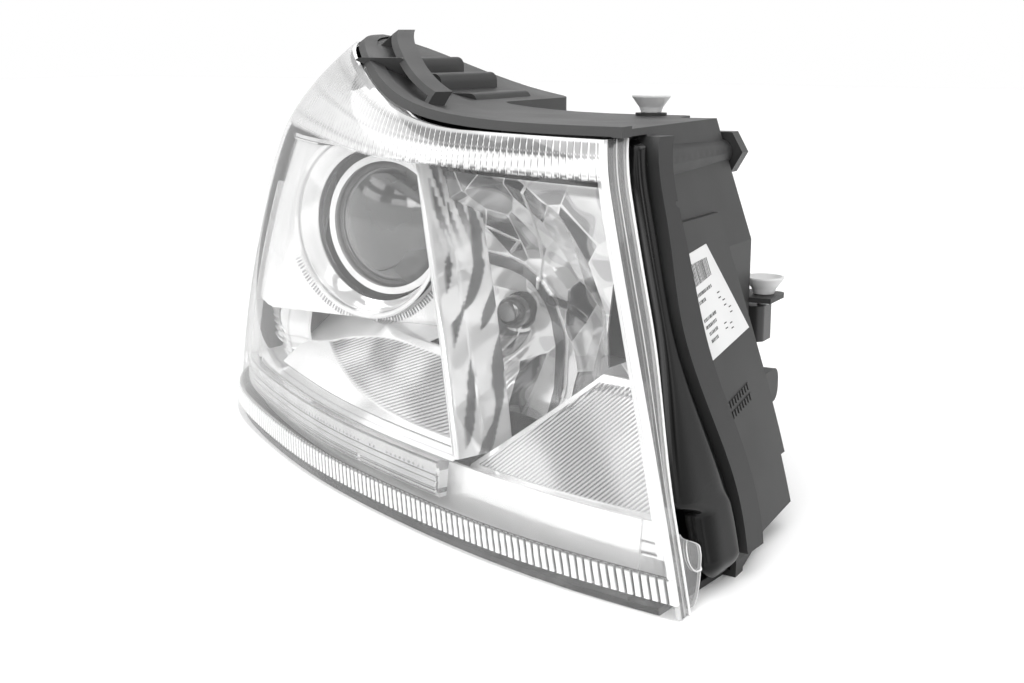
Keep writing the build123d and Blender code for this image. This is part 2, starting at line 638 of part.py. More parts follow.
def service_cap(neck, radius):
    """Twist-off cap over a service neck, with a grip bar across its back."""
    start = at(neck, dy=2)
    outer = radius + CAP_WALL
    cap = cylinder_y(start, outer, NECK_DEPTH + CAP_DEPTH - 2)
    cap = fillet(cap.edges().filter_by(GeomType.CIRCLE).group_by(Axis.Y)[-1], 4)
    cap -= cylinder_y(at(start, dy=-1), radius + GAP, NECK_DEPTH + CAP_DEPTH - 3.5)
    grip = block((neck.X - radius + 8, neck.X + radius - 8),
                 (neck.Y + NECK_DEPTH + CAP_DEPTH - 1, neck.Y + NECK_DEPTH + CAP_DEPTH + 6),
                 (neck.Z - 4, neck.Z + 4))
    for k in range(GRIP_RIBS):
        angle = radians(360 / GRIP_RIBS * k)
        cap += cylinder_y(at(start, dx=outer * cos(angle), dz=outer * sin(angle)), 2.2, 12)
    return cap + grip


def service_neck(neck, radius):
    """Ring set in the rear wall, that the service cap turns on. Its flange rests on the wall."""
    ring = tube_y(at(neck, dy=-WALL), radius, radius - WALL, NECK_DEPTH + WALL)
    return ring + tube_y(neck, radius + 2, radius - 1, 1.2)


def cap_seal(neck, radius):
    return tube_y(at(neck, dy=NECK_DEPTH + 0.2), radius - 0.4, radius - 4.5, 3)


def main_connector():
    x = CONNECTOR.X
    body = block((x - 16.6, x + 16.6), (292, 322), (35.4, 48.6))
    body = fillet(body.edges().filter_by(Axis.Y), 2)
    body += block((x - 19, x + 19), (BACK_OUTER + 4.3, BACK_OUTER + 7), (33, 51))
    return body - block((x - 14.4, x + 14.4), (306, 330), (37.6, 46.4))


def connector_pins():
    pins = [block((x - 0.6, x + 0.6), (306, 311), (41.2, 42.8)) for x in range(-252, -227, 4)]
    return Compound(children=pins)


def vent_caps():
    caps = []
    for x, back, z in ((-312, BACK_OUTER, 78), (-118, BACK_INNER, 172)):
        caps.append(cylinder_y((x, back + 0.2, z), 5, 9) + cylinder_y((x, back + 6, z), 8, 5))
    return Compound(children=caps)


def build():
    body = housing()
    parts = {"housing": body, "upper_strap": upper_strap(body)}
    makers = (outer_lens, edge_seal, type_label, projector_bezel, outer_trim, divider_fin,
              outer_flute_panel, inner_flute_panel, inner_trim, lower_trim, light_guide,
              turn_signal_reflector, turn_signal_bulb, turn_bulb_holder, position_bulb,
              position_bulb_holder, levelling_motor, motor_screws, levelling_rod, pivot_ball,
              optics_frame, projector_glass, glass_ring, projector_bowl, cutoff_shield,
              projector_reflector, high_beam_reflector, bulb_shield, carrier_screws,
              horizontal_aim_rod, horizontal_adjuster, vertical_adjuster, adjusting_sleeve,
              fixing_stud, main_connector, connector_pins, vent_caps)
    for maker in makers:
        parts[maker.__name__] = maker()
    parts["low_beam_bulb"] = bulb(BULB_PLANE_Y, PROJECTOR, 34)
    parts["high_beam_bulb"] = bulb(HIGH_BEAM.Y + BULB_SEAT, HIGH_BEAM, 33)
    parts["low_beam_bulb_clip"] = bulb_clip(BULB_PLANE_Y, PROJECTOR)
    parts["high_beam_bulb_clip"] = bulb_clip(HIGH_BEAM.Y + BULB_SEAT, HIGH_BEAM)
    parts["low_beam_neck"] = service_neck(LOW_NECK, LOW_NECK_R)
    parts["high_beam_neck"] = service_neck(HIGH_NECK, HIGH_NECK_R)
    parts["low_beam_cap"] = service_cap(LOW_NECK, LOW_NECK_R)
    parts["high_beam_cap"] = service_cap(HIGH_NECK, HIGH_NECK_R)
    parts["low_beam_cap_seal"] = cap_seal(LOW_NECK, LOW_NECK_R)
    parts["high_beam_cap_seal"] = cap_seal(HIGH_NECK, HIGH_NECK_R)
    return parts


parts = build()
boxes = [solid.bounding_box() for solid in parts.values()]
low = [min(getattr(box.min, axis) for box in boxes) for axis in "XYZ"]
high = [max(getattr(box.max, axis) for box in boxes) for axis in "XYZ"]
ORIGIN = Vector((low[0] + high[0]) / 2, (low[1] + high[1]) / 2, low[2])

os.makedirs("parts", exist_ok=True)
for name, solid in parts.items():
    export_step(solid.moved(Location(-ORIGIN)), f"parts/{name}.step")
    print(name, len(solid.solids()), round(solid.volume), solid.is_valid)
print("origin", ORIGIN, "size", [high[i] - low[i] for i in range(3)])
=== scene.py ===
import json
from math import cos, pi, radians, sin

import bmesh
import bpy
import numpy as np
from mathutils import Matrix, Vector


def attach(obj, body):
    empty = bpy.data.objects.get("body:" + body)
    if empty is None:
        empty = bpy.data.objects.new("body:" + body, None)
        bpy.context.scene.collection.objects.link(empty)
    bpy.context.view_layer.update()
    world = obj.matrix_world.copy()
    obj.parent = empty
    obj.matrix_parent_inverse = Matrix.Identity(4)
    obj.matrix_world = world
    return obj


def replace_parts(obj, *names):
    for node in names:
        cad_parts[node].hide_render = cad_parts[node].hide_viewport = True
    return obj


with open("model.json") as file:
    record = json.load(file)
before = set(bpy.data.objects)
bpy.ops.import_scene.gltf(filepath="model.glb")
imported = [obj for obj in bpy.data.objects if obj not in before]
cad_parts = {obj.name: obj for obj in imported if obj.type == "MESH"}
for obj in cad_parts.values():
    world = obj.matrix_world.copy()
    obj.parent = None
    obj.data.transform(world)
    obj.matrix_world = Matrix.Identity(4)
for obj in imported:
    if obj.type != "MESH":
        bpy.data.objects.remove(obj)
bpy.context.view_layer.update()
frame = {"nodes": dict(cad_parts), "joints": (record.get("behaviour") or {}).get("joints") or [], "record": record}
random = np.random.default_rng(7)

# ---- the drawing that the frame was built on, in millimetres ----
LENS_PLAN = [(4, -1), (-86, 15), (-180, 49), (-252, 84), (-335, 138), (-405, 202), (-440, 280)]
LENS_BOTTOM, LENS_TOP, LENS_WALL = 0.6, 194.5, 2.6
RIB_BASE, RIB_TOP = 7.0, 17.5
WING_RISE, WING_START, WING_RUN = 43.0, 185.0, 300.0
LIP = 4.0
PIVOT = Vector((-62, 128, 150))
PROJECTOR = Vector((-263, 178, 131.5))
GLASS_R = 38.0
BEZEL = Vector((-272, 163, 131.5))
BEZEL_R, BEZEL_CANT = 54.5, 5.0
HIGH_BEAM = Vector((-160, 150, 94))
DISH_FOCUS, BULB_HOLE_R = 25.0, 10.5

joints = {joint["name"]: joint for joint in frame["joints"]}
SHIFT = Vector(joints["horizontal_aim"]["pos_m"]) - PIVOT / 1000


def natural_spline(points):
    """Smooth curve through points, as a function from distance to place and direction."""
    p = np.array(points, float)
    t = np.r_[0, np.cumsum(np.hypot(*np.diff(p, axis=0).T))]
    n, h = len(t), np.diff(t)
    a, b = np.eye(n), np.zeros((n, 2))
    for i in range(1, n - 1):
        a[i, i - 1:i + 2] = h[i - 1], 2 * (h[i - 1] + h[i]), h[i]
        b[i] = 6 * ((p[i + 1] - p[i]) / h[i] - (p[i] - p[i - 1]) / h[i - 1])
    m = np.linalg.solve(a, b)

    def at(s):
        inside = np.clip(s, t[0], t[-1])
        i = np.clip(np.searchsorted(t, inside) - 1, 0, n - 2)
        u, v = (inside - t[i])[:, None], (t[i + 1] - inside)[:, None]
        k = h[i][:, None]
        place = (m[i] * v ** 3 + m[i + 1] * u ** 3) / (6 * k) + (p[i] / k - m[i] * k / 6) * v \
            + (p[i + 1] / k - m[i + 1] * k / 6) * u
        slope = (m[i + 1] * u ** 2 - m[i] * v ** 2) / (2 * k) + (p[i + 1] - p[i]) / k \
            - (m[i + 1] - m[i]) * k / 6
        slope /= np.linalg.norm(slope, axis=1, keepdims=True)
        return place + slope * (s - inside)[:, None], slope
    return at, t[-1]


plan_at, PLAN_LENGTH = natural_spline(LENS_PLAN)


def on_front(s, z, inward=0.0):
    """Points on the lens surface, moved inward. All three may be arrays. Millimetres."""
    s, z, inward = np.broadcast_arrays(*(np.asarray(v, float) for v in (s, z, inward)))
    place, slope = plan_at(s.ravel())
    lean = 0.05 * z + 0.0008 * z * z + 0.006 * np.maximum(0, z - 170) ** 2 + inward
    x = place[:, 0].reshape(s.shape) + slope[:, 1].reshape(s.shape) * lean
    y = place[:, 1].reshape(s.shape) - slope[:, 0].reshape(s.shape) * lean
    return np.stack([x, y, z], axis=-1)


def behind_lens(x, z, depth):
    """The surface at one depth behind the lens: its y straight behind x, and place along it."""
    s = -1.1 * x
    for _ in range(14):
        point = on_front(s, z, depth)
        s = s + (point[..., 0] - x) * 0.9
    return point[..., 1], s


def smooth(t):
    t = np.clip(t, 0, 1)
    return t * t * (3 - 2 * t)


def lens_start(z):
    """Place along the lens of its inner edge, at height z."""
    return 6.5 + 0.229 * z + 0.00079 * z * z


def skirt_back(z):
    """Depth of the lens skirt's rear edge."""
    return 11 + 8 * smooth((z - 40) / 80)


def seal_front(z):
    return skirt_back(z) + 1 + 16 * smooth((44 - z) / 8)


def seal_back(z):
    return 32 + 28 * smooth((120 - z) / 95)


def lens_end(z):
    """Place along the lens of its outer edge."""
    return PLAN_LENGTH - 0.22 * z


def lens_top(s):
    return LENS_TOP + WING_RISE * smooth((np.asarray(s) - WING_START) / WING_RUN)


def divider_line(z):
    """Place along the lens of the fin between the two beams."""
    return 150 + 0.17 * z + 0.00185 * z * z


def frame_line(z):
    """Place along the lens of the inner frame strip."""
    return 18 + 0.2 * z + 0.001 * z * z


def panel_top(s):
    """Height of the inner fluted panel's sloping top edge."""
    return 84 - 0.78 * np.maximum(0.0, s - 92)


def metres(p):
    """Drawing millimetres to the frame's metres."""
    return np.asarray(p, float) / 1000 + np.array(SHIFT)


def stripe(x, center, half, soft=0.35):
    """1 within half of center, falling to 0 over soft."""
    return 1 - smooth((np.abs(x - center) - half) / soft + 0.5)


def patchy(x, y, scale, seed):
    """Smooth random field from -1 to 1, made of a few sine waves."""
    r = np.random.default_rng(seed)
    total = 0
    for k in range(7):
        angle, phase = r.uniform(0, pi), r.uniform(0, 2 * pi)
        size = scale * r.uniform(0.6, 1.7)
        total = total + np.sin((x * cos(angle) + y * sin(angle)) / size * 2 * pi + phase)
    return np.tanh(total / 2.2)


# ---- mesh helpers ----


def finish_piece(name, mesh, body, look, sharp=None):
    piece = bpy.data.objects.new(name, mesh)
    bpy.context.collection.objects.link(piece)
    mesh.polygons.foreach_set("use_smooth", [True] * len(mesh.polygons))
    if sharp:
        mesh.set_sharp_from_angle(angle=radians(sharp))
    mesh.materials.append(look)
    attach(piece, body)
    return piece


def plate(name, front, back, body, slot, look, sharp=35, closed=False, **attributes):
    """Closed thin solid between two grids of points, (rows, columns, xyz) in millimetres.
    closed joins the first and last row, as in a ring."""
    n, m = front.shape[:2]
    points = np.concatenate([front.reshape(-1, 3), back.reshape(-1, 3)])
    index = np.arange(n * m).reshape(n, m)
    if closed:
        index = np.concatenate([index, index[:1]])
    a, b, c, d = index[:-1, :-1], index[1:, :-1], index[1:, 1:], index[:-1, 1:]
    quads = np.stack([a, b, c, d], axis=-1).reshape(-1, 4)
    far = quads[:, ::-1] + n * m
    rims = [index[:, 0], index[:, -1][::-1]]
    if not closed:
        rims += [index[0][::-1], index[-1]]
    walls = [np.stack([r[1:], r[:-1], r[:-1] + n * m, r[1:] + n * m], axis=-1) for r in rims]
    faces = np.concatenate([quads, far, *walls])
    mesh = bpy.data.meshes.new(name)
    mesh.from_pydata(metres(points).tolist(), [], faces.tolist())
    for key, values in attributes.items():
        layer = mesh.attributes.new(key, "FLOAT", "POINT")
        both = np.concatenate([np.ravel(values), np.ravel(values)])
        layer.data.foreach_set("value", both.astype(np.float32))
    shape = bmesh.new()
    shape.from_mesh(mesh)
    bmesh.ops.recalc_face_normals(shape, faces=shape.faces)
    shape.to_mesh(mesh)
    shape.free()
    return finish_piece(name, mesh, body, look, sharp)


def front_grid(s_from, s_to, z_from, z_to, columns, rows):
    """Even grid over part of the front: arrays s and z, and each point's share across and up.
    Limits are numbers or rules."""
    u, v = np.meshgrid(np.linspace(0, 1, columns), np.linspace(0, 1, rows), indexing="ij")
    s, z = u * 0 + 100.0, v * 0 + 100.0
    for _ in range(8):
        low = z_from(s) if callable(z_from) else z_from
        high = z_to(s) if callable(z_to) else z_to
        z = low * (1 - v) + high * v
        start = s_from(z) if callable(s_from) else s_from
        end = s_to(z) if callable(s_to) else s_to
        s = start * (1 - u) + end * u
    return s, z, u, v


# ---- materials ----


def material(name):
    m = bpy.data.materials.new(name)
    m.use_nodes = True
    m.node_tree.nodes.clear()
    return m, Nodes(m.node_tree)


class Nodes:
    def __init__(self, tree):
        self.tree = tree

    def add(self, kind, values=None, **settings):
        node = self.tree.nodes.new("ShaderNode" + kind)
        for key, v in settings.items():
            setattr(node, key, v)
        for key, v in (values or {}).items():
            self.set(node.inputs[key], v)
        return node

    def set(self, socket, v):
        if isinstance(v, bpy.types.NodeSocket):
            self.tree.links.new(v, socket)
        elif isinstance(v, bpy.types.Node):
            self.tree.links.new(v.outputs[0], socket)
        else:
            socket.default_value = v

    def math(self, operation, a, b=0.0, clamp=False):
        return self.add("Math", {0: a, 1: b}, operation=operation, use_clamp=clamp).outputs[0]

    def noise(self, scale, detail=2.0, stretch=(1, 1, 1)):
        place = self.add("Mapping", {0: self.add("TexCoord").outputs["Object"], 3: stretch})
        return self.add("TexNoise", {"Vector": place, "Scale": scale, "Detail": detail}).outputs[0]

    def ramp(self, factor, *stops):
        node = self.add("ValToRGB", {0: factor})
        points = node.color_ramp.elements
        while len(points) < len(stops):
            points.new(0.5)
        for point, (place, shade) in zip(points, stops):
            point.position = place
            point.color = (*shade, 1) if isinstance(shade, tuple) else (shade, shade, shade, 1)
        return node.outputs[0]

    def bump(self, height, strength, distance):
        return self.add("Bump", {"Height": height, "Strength": strength, "Distance": distance}).outputs[0]

    def attribute(self, name):
        return self.add("Attribute", attribute_name=name).outputs["Fac"]

    def output(self, shader):
        self.add("OutputMaterial", {0: shader})


def plastic(name, dark, light, rough, grain=0.00012, scale=2600, shine=0.4):
    """Moulded plastic: fine grain, and slow changes of shade and gloss."""
    m, n = material(name)
    cloud = n.noise(18, 4)
    fine = n.noise(scale, 2)
    shade = n.ramp(cloud, (0.3, dark), (0.7, light))
    gloss = n.ramp(cloud, (0.25, rough * 0.85), (0.75, min(1, rough * 1.15)))
    n.output(n.add("BsdfPrincipled", {"Base Color": shade, "Roughness": gloss, "Specular IOR Level": shine,
                                      "Normal": n.bump(fine, 0.5, grain)}))
    return m


def mirror(name, low=0.80, high=0.97, rough=0.045, wave=0.00004, toned=False, metal=0.45):
    """Vacuum-metallised plastic: bright, faintly wavy, a little cloudy."""
    m, n = material(name)
    shade = n.ramp(n.noise(30, 3), (0.35, low), (0.65, high))
    # toned: the tone attribute paints reflections and shade into the colour, from near black at 0 to the metal's
    # own shade at 1
    if toned:
        shade = n.add("Mix", {0: n.attribute("tone"), 6: (0.03, 0.03, 0.032, 1), 7: shade},
                      data_type="RGBA").outputs[2]
    gloss = n.ramp(n.noise(60, 4), (0.3, rough * 0.7), (0.75, rough * 1.6))
    n.output(n.add("BsdfPrincipled", {"Base Color": shade, "Metallic": metal, "Roughness": gloss,
                                      "Normal": n.bump(n.noise(140, 2), 0.35, wave)}))
    return m


def clear_plastic(name, rough=0.03, haze=0.05, detailed=False):
    """Clear moulding: lets light straight through, with a skin that reflects. Where the
    surface has relief, cover says how white and solid it looks, and tone is its painted light and shade."""
    m, n = material(name)
    skin_normal = n.bump(n.noise(26, 2), 0.2, 0.0006)
    fresnel = n.add("Fresnel", {"IOR": 1.48, "Normal": skin_normal})
    outside = n.math("SUBTRACT", 1.0, n.add("NewGeometry").outputs["Backfacing"])
    skin = n.math("MULTIPLY", fresnel, outside, clamp=True)
    through = n.add("BsdfTransparent", {0: (0.985, 0.985, 0.985, 1)})
    milk = n.add("BsdfDiffuse", {0: (0.93, 0.93, 0.93, 1)})
    body = n.add("MixShader", {0: n.math("MULTIPLY", haze, n.ramp(n.noise(14, 3), (0.3, 0.4), (0.7, 1.0))),
                               1: through, 2: milk})
    if detailed:
        # the tone attribute gives the relief painted highlights and painted shade
        shade = n.ramp(n.attribute("tone"), (0.0, 0.02), (0.5, 0.22), (1.0, 0.88))
        relief = n.add("BsdfPrincipled", {"Base Color": shade, "Roughness": 0.2, "Coat Weight": 0.6,
                                          "Coat Roughness": 0.04})
        body = n.add("MixShader", {0: n.attribute("cover"), 1: body, 2: relief})
    gloss = n.add("BsdfGlossy", {"Roughness": rough, "Normal": skin_normal})
    n.output(n.add("MixShader", {0: skin, 1: body, 2: gloss}))
    return m


def dark_glass(name):
    m, n = material(name)
    shade = n.ramp(n.noise(22, 3), (0.3, 0.03), (0.7, 0.075))
    gloss = n.ramp(n.noise(300, 5), (0.4, 0.015), (0.7, 0.05))
    n.output(n.add("BsdfPrincipled", {"Base Color": shade, "Roughness": gloss, "IOR": 1.6,
                                      "Specular IOR Level": 0.8, "Coat Weight": 1.0,
                                      "Coat Roughness": 0.01}))
    return m


def brushed_steel(name, low=0.35, high=0.6):
    m, n = material(name)
    shade = n.ramp(n.noise(90, 5), (0.3, low), (0.7, high))
    gloss = n.ramp(n.noise(400, 3, (1, 6, 1)), (0.3, 0.22), (0.7, 0.42))
    n.output(n.add("BsdfPrincipled", {"Base Color": shade, "Metallic": 1.0, "Roughness": gloss}))
    return m


def bulb_glass(name):
    m, n = material(name)
    fresnel = n.add("Fresnel", {"IOR": 1.5})
    tint = n.ramp(n.noise(120, 2), (0.3, 0.80), (0.7, 0.95))
    through = n.add("BsdfTransparent", {0: tint})
    gloss = n.add("BsdfGlossy", {"Roughness": 0.02})
    n.output(n.add("MixShader", {0: n.math("MAXIMUM", fresnel, 0.08), 1: through, 2: gloss}))
    return m


housing_grey = plastic("housing_grey", 0.015, 0.025, 0.5)
dark_grey = plastic("dark_grey", 0.012, 0.022, 0.45)
seal_black = plastic("seal_black", 0.002, 0.004, 0.22, grain=0.00003, scale=700, shine=0.22)
rubber = plastic("rubber", 0.012, 0.02, 0.7)
white_plastic = plastic("white_plastic", 0.55, 0.66, 0.35)
label_paper = plastic("label_paper", 0.60, 0.68, 0.5, grain=0.00002, scale=5000)
label_ink = plastic("label_ink", 0.02, 0.04, 0.6)
motor_black = plastic("motor_black", 0.02, 0.03, 0.35)
chrome = mirror("chrome")
dark_chrome = mirror("dark_chrome", 0.05, 0.42, 0.04, metal=0.9)
soft_chrome = mirror("soft_chrome", 0.86, 0.97, 0.16, 0.00008)
toned_chrome = mirror("toned_chrome", 0.86, 0.97, 0.07, toned=True)
fluted_chrome = mirror("fluted_chrome", 0.84, 0.97, 0.13, toned=True)
lens_clear = clear_plastic("lens_clear", detailed=True)
guide_clear = clear_plastic("guide_clear", 0.05, 0.25, detailed=True)
glass = dark_glass("glass")
steel = brushed_steel("steel")
brass = brushed_steel("brass", 0.45, 0.7)
clear_bulb = bulb_glass("clear_bulb")

looks = {
    housing_grey: "housing upper_strap low_beam_neck high_beam_neck",
    dark_grey: "optics_frame low_beam_cap high_beam_cap turn_bulb_holder position_bulb_holder "
               "main_connector pivot_ball adjusting_sleeve",
    motor_black: "levelling_motor cutoff_shield",
    rubber: "low_beam_cap_seal high_beam_cap_seal vent_caps",
    white_plastic: "vertical_adjuster horizontal_adjuster horizontal_aim_rod levelling_rod",
    label_paper: "type_label",
    chrome: "glass_ring projector_bowl projector_reflector turn_signal_reflector",
    dark_chrome: "bulb_shield",
    soft_chrome: "outer_trim lower_trim inner_trim",
    glass: "projector_glass",
    steel: "low_beam_bulb_clip high_beam_bulb_clip carrier_screws motor_screws fixing_stud",
    brass: "connector_pins",
    clear_bulb: "low_beam_bulb high_beam_bulb turn_signal_bulb position_bulb",
}
for look, names in looks.items():
    for name in names.split():
        for slot in frame["nodes"][name].material_slots:
            slot.material = look
record_slot = {part["node"]: part["material_slot"] for part in frame["record"]["subparts"]}

# ---- lens ----
FLUTE, RIB = 4.8, 4.2


def band_bottom(s):
    """Lower edge of the fluted band under the lens's top edge."""
    return 177.0 + 10 * smooth((s - 230) / 220)


def lens():
    columns = int(PLAN_LENGTH / 0.6)
    levels = np.r_[0, 0.35, 0.7, 0.97, 1, np.linspace(1.02, 1.98, 10), 2, 2.003, np.linspace(2.03, 2.97, 9),
                   2.996, 3, np.linspace(3.05, 4, 18)]
    u, level = np.meshgrid(np.linspace(0, 1, columns), levels, indexing="ij")
    s = u * PLAN_LENGTH
    for _ in range(6):
        knots = [s * 0 + LENS_BOTTOM, s * 0 + RIB_BASE, s * 0 + RIB_TOP, band_bottom(s), lens_top(s)]
        z = sum(np.where((level >= k) & (level < k + 1) if k < 3 else level >= k,
                         knots[k] + (knots[k + 1] - knots[k]) * (level - k), 0) for k in range(4))
        s = lens_start(z) * (1 - u) + lens_end(z) * u
    band = smooth((z - band_bottom(s) + 0.6) / 1.2)
    height = np.clip((z - band_bottom(s)) / (lens_top(s) - band_bottom(s)), 0, 1)
    phase = np.mod((s - lens_start(z)) / FLUTE, 1)
    arc = 4 * phase * (1 - phase)
    fade = smooth((330 - s) / 160)
    flute = 1.5 * arc * band * smooth((1.02 - height) / 0.1)
    rib_phase = np.mod((s - lens_start(z)) / RIB, 1)
    bar = smooth((0.36 - np.abs(rib_phase - 0.5)) / 0.16 + 0.5)
    rib_zone = (level >= 1) * (level < 2) * 1.0
    rib_height = (z - RIB_BASE) / (RIB_TOP - RIB_BASE)
    rounded = smooth((0.94 - rib_height - 0.12 * (2 * rib_phase - 1) ** 2) / 0.06 + 0.5)
    lip = (level < 1) * 1.0
    inner = on_front(s, z, LENS_WALL - 0.2 - flute)
    outer = on_front(s, z, 0.9 * rib_zone * (1 - bar * rounded) * smooth((rib_height + 0.02) / 0.05))
    # painted light and shade of the fluted band: pale arcs with a painted bright line between them, painted shade
    # where the arc turns under, in patches along the band's foot and beside each bright line
    curve = height - 0.10 * (1 - arc)
    tone = 0.92 - 0.50 * smooth((curve - 0.56) / 0.06) * (0.3 + 0.7 * fade)
    tone += 0.16 * smooth((curve - 0.85) / 0.1)
    tone -= 0.62 * stripe(curve, 0.53, 0.035, 0.05) * fade
    tone -= 0.5 * smooth((0.13 - height) / 0.06) * (patchy(s, z * 3, 7, 3) > -0.1) * fade
    tone += 0.6 * stripe(np.abs(phase - 0.5), 0.5, 0.07, 0.06)
    tone -= 0.55 * stripe(phase, 0.115, 0.03, 0.04) * (0.75 + 0.25 * fade)
    tone -= 0.20 * (1 - fade) * stripe(np.mod(height * 3, 1), 0.5, 0.12, 0.15)
    cover = band * (0.66 + 0.24 * fade)
    # painted shade between the ribs of the lower band, weaker towards the outer end
    strength = 0.45 + 0.55 * smooth((430 - s) / 250)
    rib_tone = 1 - (1 - bar * rounded) * strength * (0.75 + 0.15 * (rib_height < 0.85))
    tone = np.where(rib_zone > 0, np.clip(rib_tone, 0.1, 1), tone)
    cover = np.where(rib_zone > 0, 0.90, cover)
    # painted highlight along the lens's inner edge
    edge = smooth((3.2 - (s - lens_start(z))) / 0.8)
    tone = np.where(edge > 0.3, 0.98, tone)
    cover = np.maximum(cover, 0.75 * edge)
    # painted highlight along the top rim
    top_rim = smooth((z - lens_top(s) + 1.6) / 0.6)
    cover = np.where(top_rim > 0.2, 0.8, cover)
    tone = np.where(top_rim > 0.2, 0.85, tone)
    glow = smooth((s - 470) / 90) * 0.30
    cover = np.where(lip > 0, 0.04, np.maximum(cover, glow))
    return plate("outer_lens_face", outer, inner, "housing", record_slot["outer_lens"], lens_clear, 50,
                 tone=np.clip(tone, 0, 1), cover=np.clip(cover, 0, 1))


def skirt():
    """The lens's turned-back inner edge, with a bead at its front and at its rear."""
    rows = 130
    z = np.linspace(LENS_BOTTOM, LENS_TOP, rows)[:, None]
    t = np.r_[np.linspace(0, 0.14, 5), np.linspace(0.17, 0.83, 12), np.linspace(0.86, 1, 5)][None, :]
    depth = (LENS_WALL - 0.3) * (1 - t) + skirt_back(z) * t
    millimetre = depth - (LENS_WALL - 0.3)
    reach = skirt_back(z) - LENS_WALL + 0.3
    back_bead = stripe(millimetre, reach - 0.9, 0.9, 0.5)
    step = smooth((millimetre - 0.46 * reach) / 0.6)
    outward = 0.55 * back_bead + 0.35 * stripe(millimetre, 0.6, 0.7, 0.5) - 0.2 * step
    z = z + 0 * t
    outer = on_front(lens_start(z) + 0.75 - outward, z, depth)
    inner = on_front(lens_start(z) + LENS_WALL, z, depth)
    line = stripe(millimetre, 0.46 * reach, 0.35, 0.4)
    beads = np.maximum(back_bead, line)
    # tone paints the skirt's light and shade: painted highlights along both beads and the moulded line, darker in
    # front of the step
    tone = 0.18 + 0.25 * step + 0.75 * np.maximum(beads, stripe(millimetre, 0.3, 0.5, 0.4))
    cover = 0.35 + 0.55 * beads + 0.25 * (1 - step)
    return plate("lens_skirt", outer, inner, "housing", record_slot["outer_lens"], lens_clear, 40,
                 tone=np.clip(tone, 0, 1), cover=np.clip(cover, 0, 0.92))


def ear():
    """Clear lug behind the foot of the skirt, with a moulded ring."""
    z = np.linspace(3, 33, 60)[:, None]
    t = np.linspace(0, 1, 44)[None, :]
    top_curve = smooth((33 - z) / 9)
    low_curve = np.sqrt(np.clip((z - 2.9) / 18, 0, 1))
    end = 12 + 14 * top_curve * low_curve
    depth = 9.5 * (1 - t) + end * t
    z = z + 0 * t
    ring_r = np.hypot(depth - 22, (z - 24) * 0.85)
    ring = stripe(ring_r, 7.4, 0.45, 0.5)
    edge = smooth((t - 0.93) / 0.05) + 0 * z
    outward = 0.5 * ring + 0.3 * edge
    outer = on_front(lens_start(z) + 0.7 - outward, z, depth)
    inner = on_front(lens_start(z) + 1.8, z, depth)
    # painted highlights along the moulded ring and the rear edge, over a random tone
    tone = 0.22 + 0.78 * np.maximum(ring, edge) + 0.1 * patchy(depth, z, 14, 4)
    cover = 0.45 + 0.45 * np.maximum(ring, edge)
    return plate("lens_ear", outer, inner, "housing", record_slot["outer_lens"], lens_clear, 40,
                 tone=np.clip(tone, 0, 1), cover=np.clip(cover, 0, 0.95))


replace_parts(lens(), "outer_lens")
skirt()
ear()


def seal():
    """Bulging glossy seal between the skirt and the housing, closed like a flattened tube."""
    z = np.linspace(6.5, LENS_TOP - 1.5, 150)[:, None]
    t = np.linspace(0, 1, 26)[None, :]
    ends = smooth((z - 6.4) / 9) ** 0.5 * smooth((LENS_TOP - 1.4 - z) / 3) ** 0.5
    front, rear = seal_front(z) + 0.3, seal_back(z) - 0.3
    middle = (front + rear) / 2
    depth = middle + (rear - front) / 2 * (2 * t - 1) * (0.35 + 0.65 * ends)
    bulge = np.sqrt(np.clip(1 - (2 * t - 1) ** 4, 0, 1)) * ends
    ridge = 0.3 * stripe(t, 0.86, 0.03, 0.05)
    z = z + 0 * t
    outer = on_front(lens_start(z) + 4.6 - 7.2 * bulge + ridge * bulge, z, depth)
    inner = on_front(lens_start(z) + 7.5, z, depth)
    return plate("edge_seal_bulge", outer, inner, "housing", record_slot["edge_seal"], seal_black, 85)


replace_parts(seal(), "edge_seal")

# ---- chrome interior ----


def outer_fluted_dish():
    """Shallow dish below the projector, covered with fine slanting flutes."""
    s, z = front_grid(lambda z: divider_line(z) + 4.5, 402, 39.5, 73.5, 336, 170)[:2]
    base = 21.2 + (z - 39)
    # the dish is bounded above by an arch and below by a rising edge
    arch = 71 - 12 * np.abs((s - 262) / 100) ** 2.4
    foot = 41.5 + 0.00052 * np.maximum(0, s - 195) ** 2
    inside = smooth((arch - z) / 1.6) * smooth((z - foot) / 1.6) * smooth((372 - s) / 6)
    phase = np.mod((z + 0.40 * s) / 2.1, 1)
    flutes = 0.34 * np.abs(np.sin(pi * phase)) * inside
    fine = 0.10 * np.abs(np.sin(pi * (s - z) / 1.7)) * (1 - inside)
    # painted reflections: a slow random darkening of the flutes, and painted dark reflections in each groove
    reflection_mottle = patchy(s, z * 2.6, 46, 11)
    groove = stripe(np.abs(phase - 0.5), 0.5, 0.17, 0.12)
    tone = 1 - inside * (0.26 + 0.26 * reflection_mottle) - inside * (0.62 - 0.10 * reflection_mottle) * groove
    front = on_front(s, z, base + 1.6 * inside - 0.4 - flutes - fine)
    back = on_front(s, z, base + 1.9)
    return plate("outer_fluted_dish", front, back, "housing", record_slot["outer_flute_panel"],
                 fluted_chrome, 60, tone=np.clip(tone, 0.05, 1))


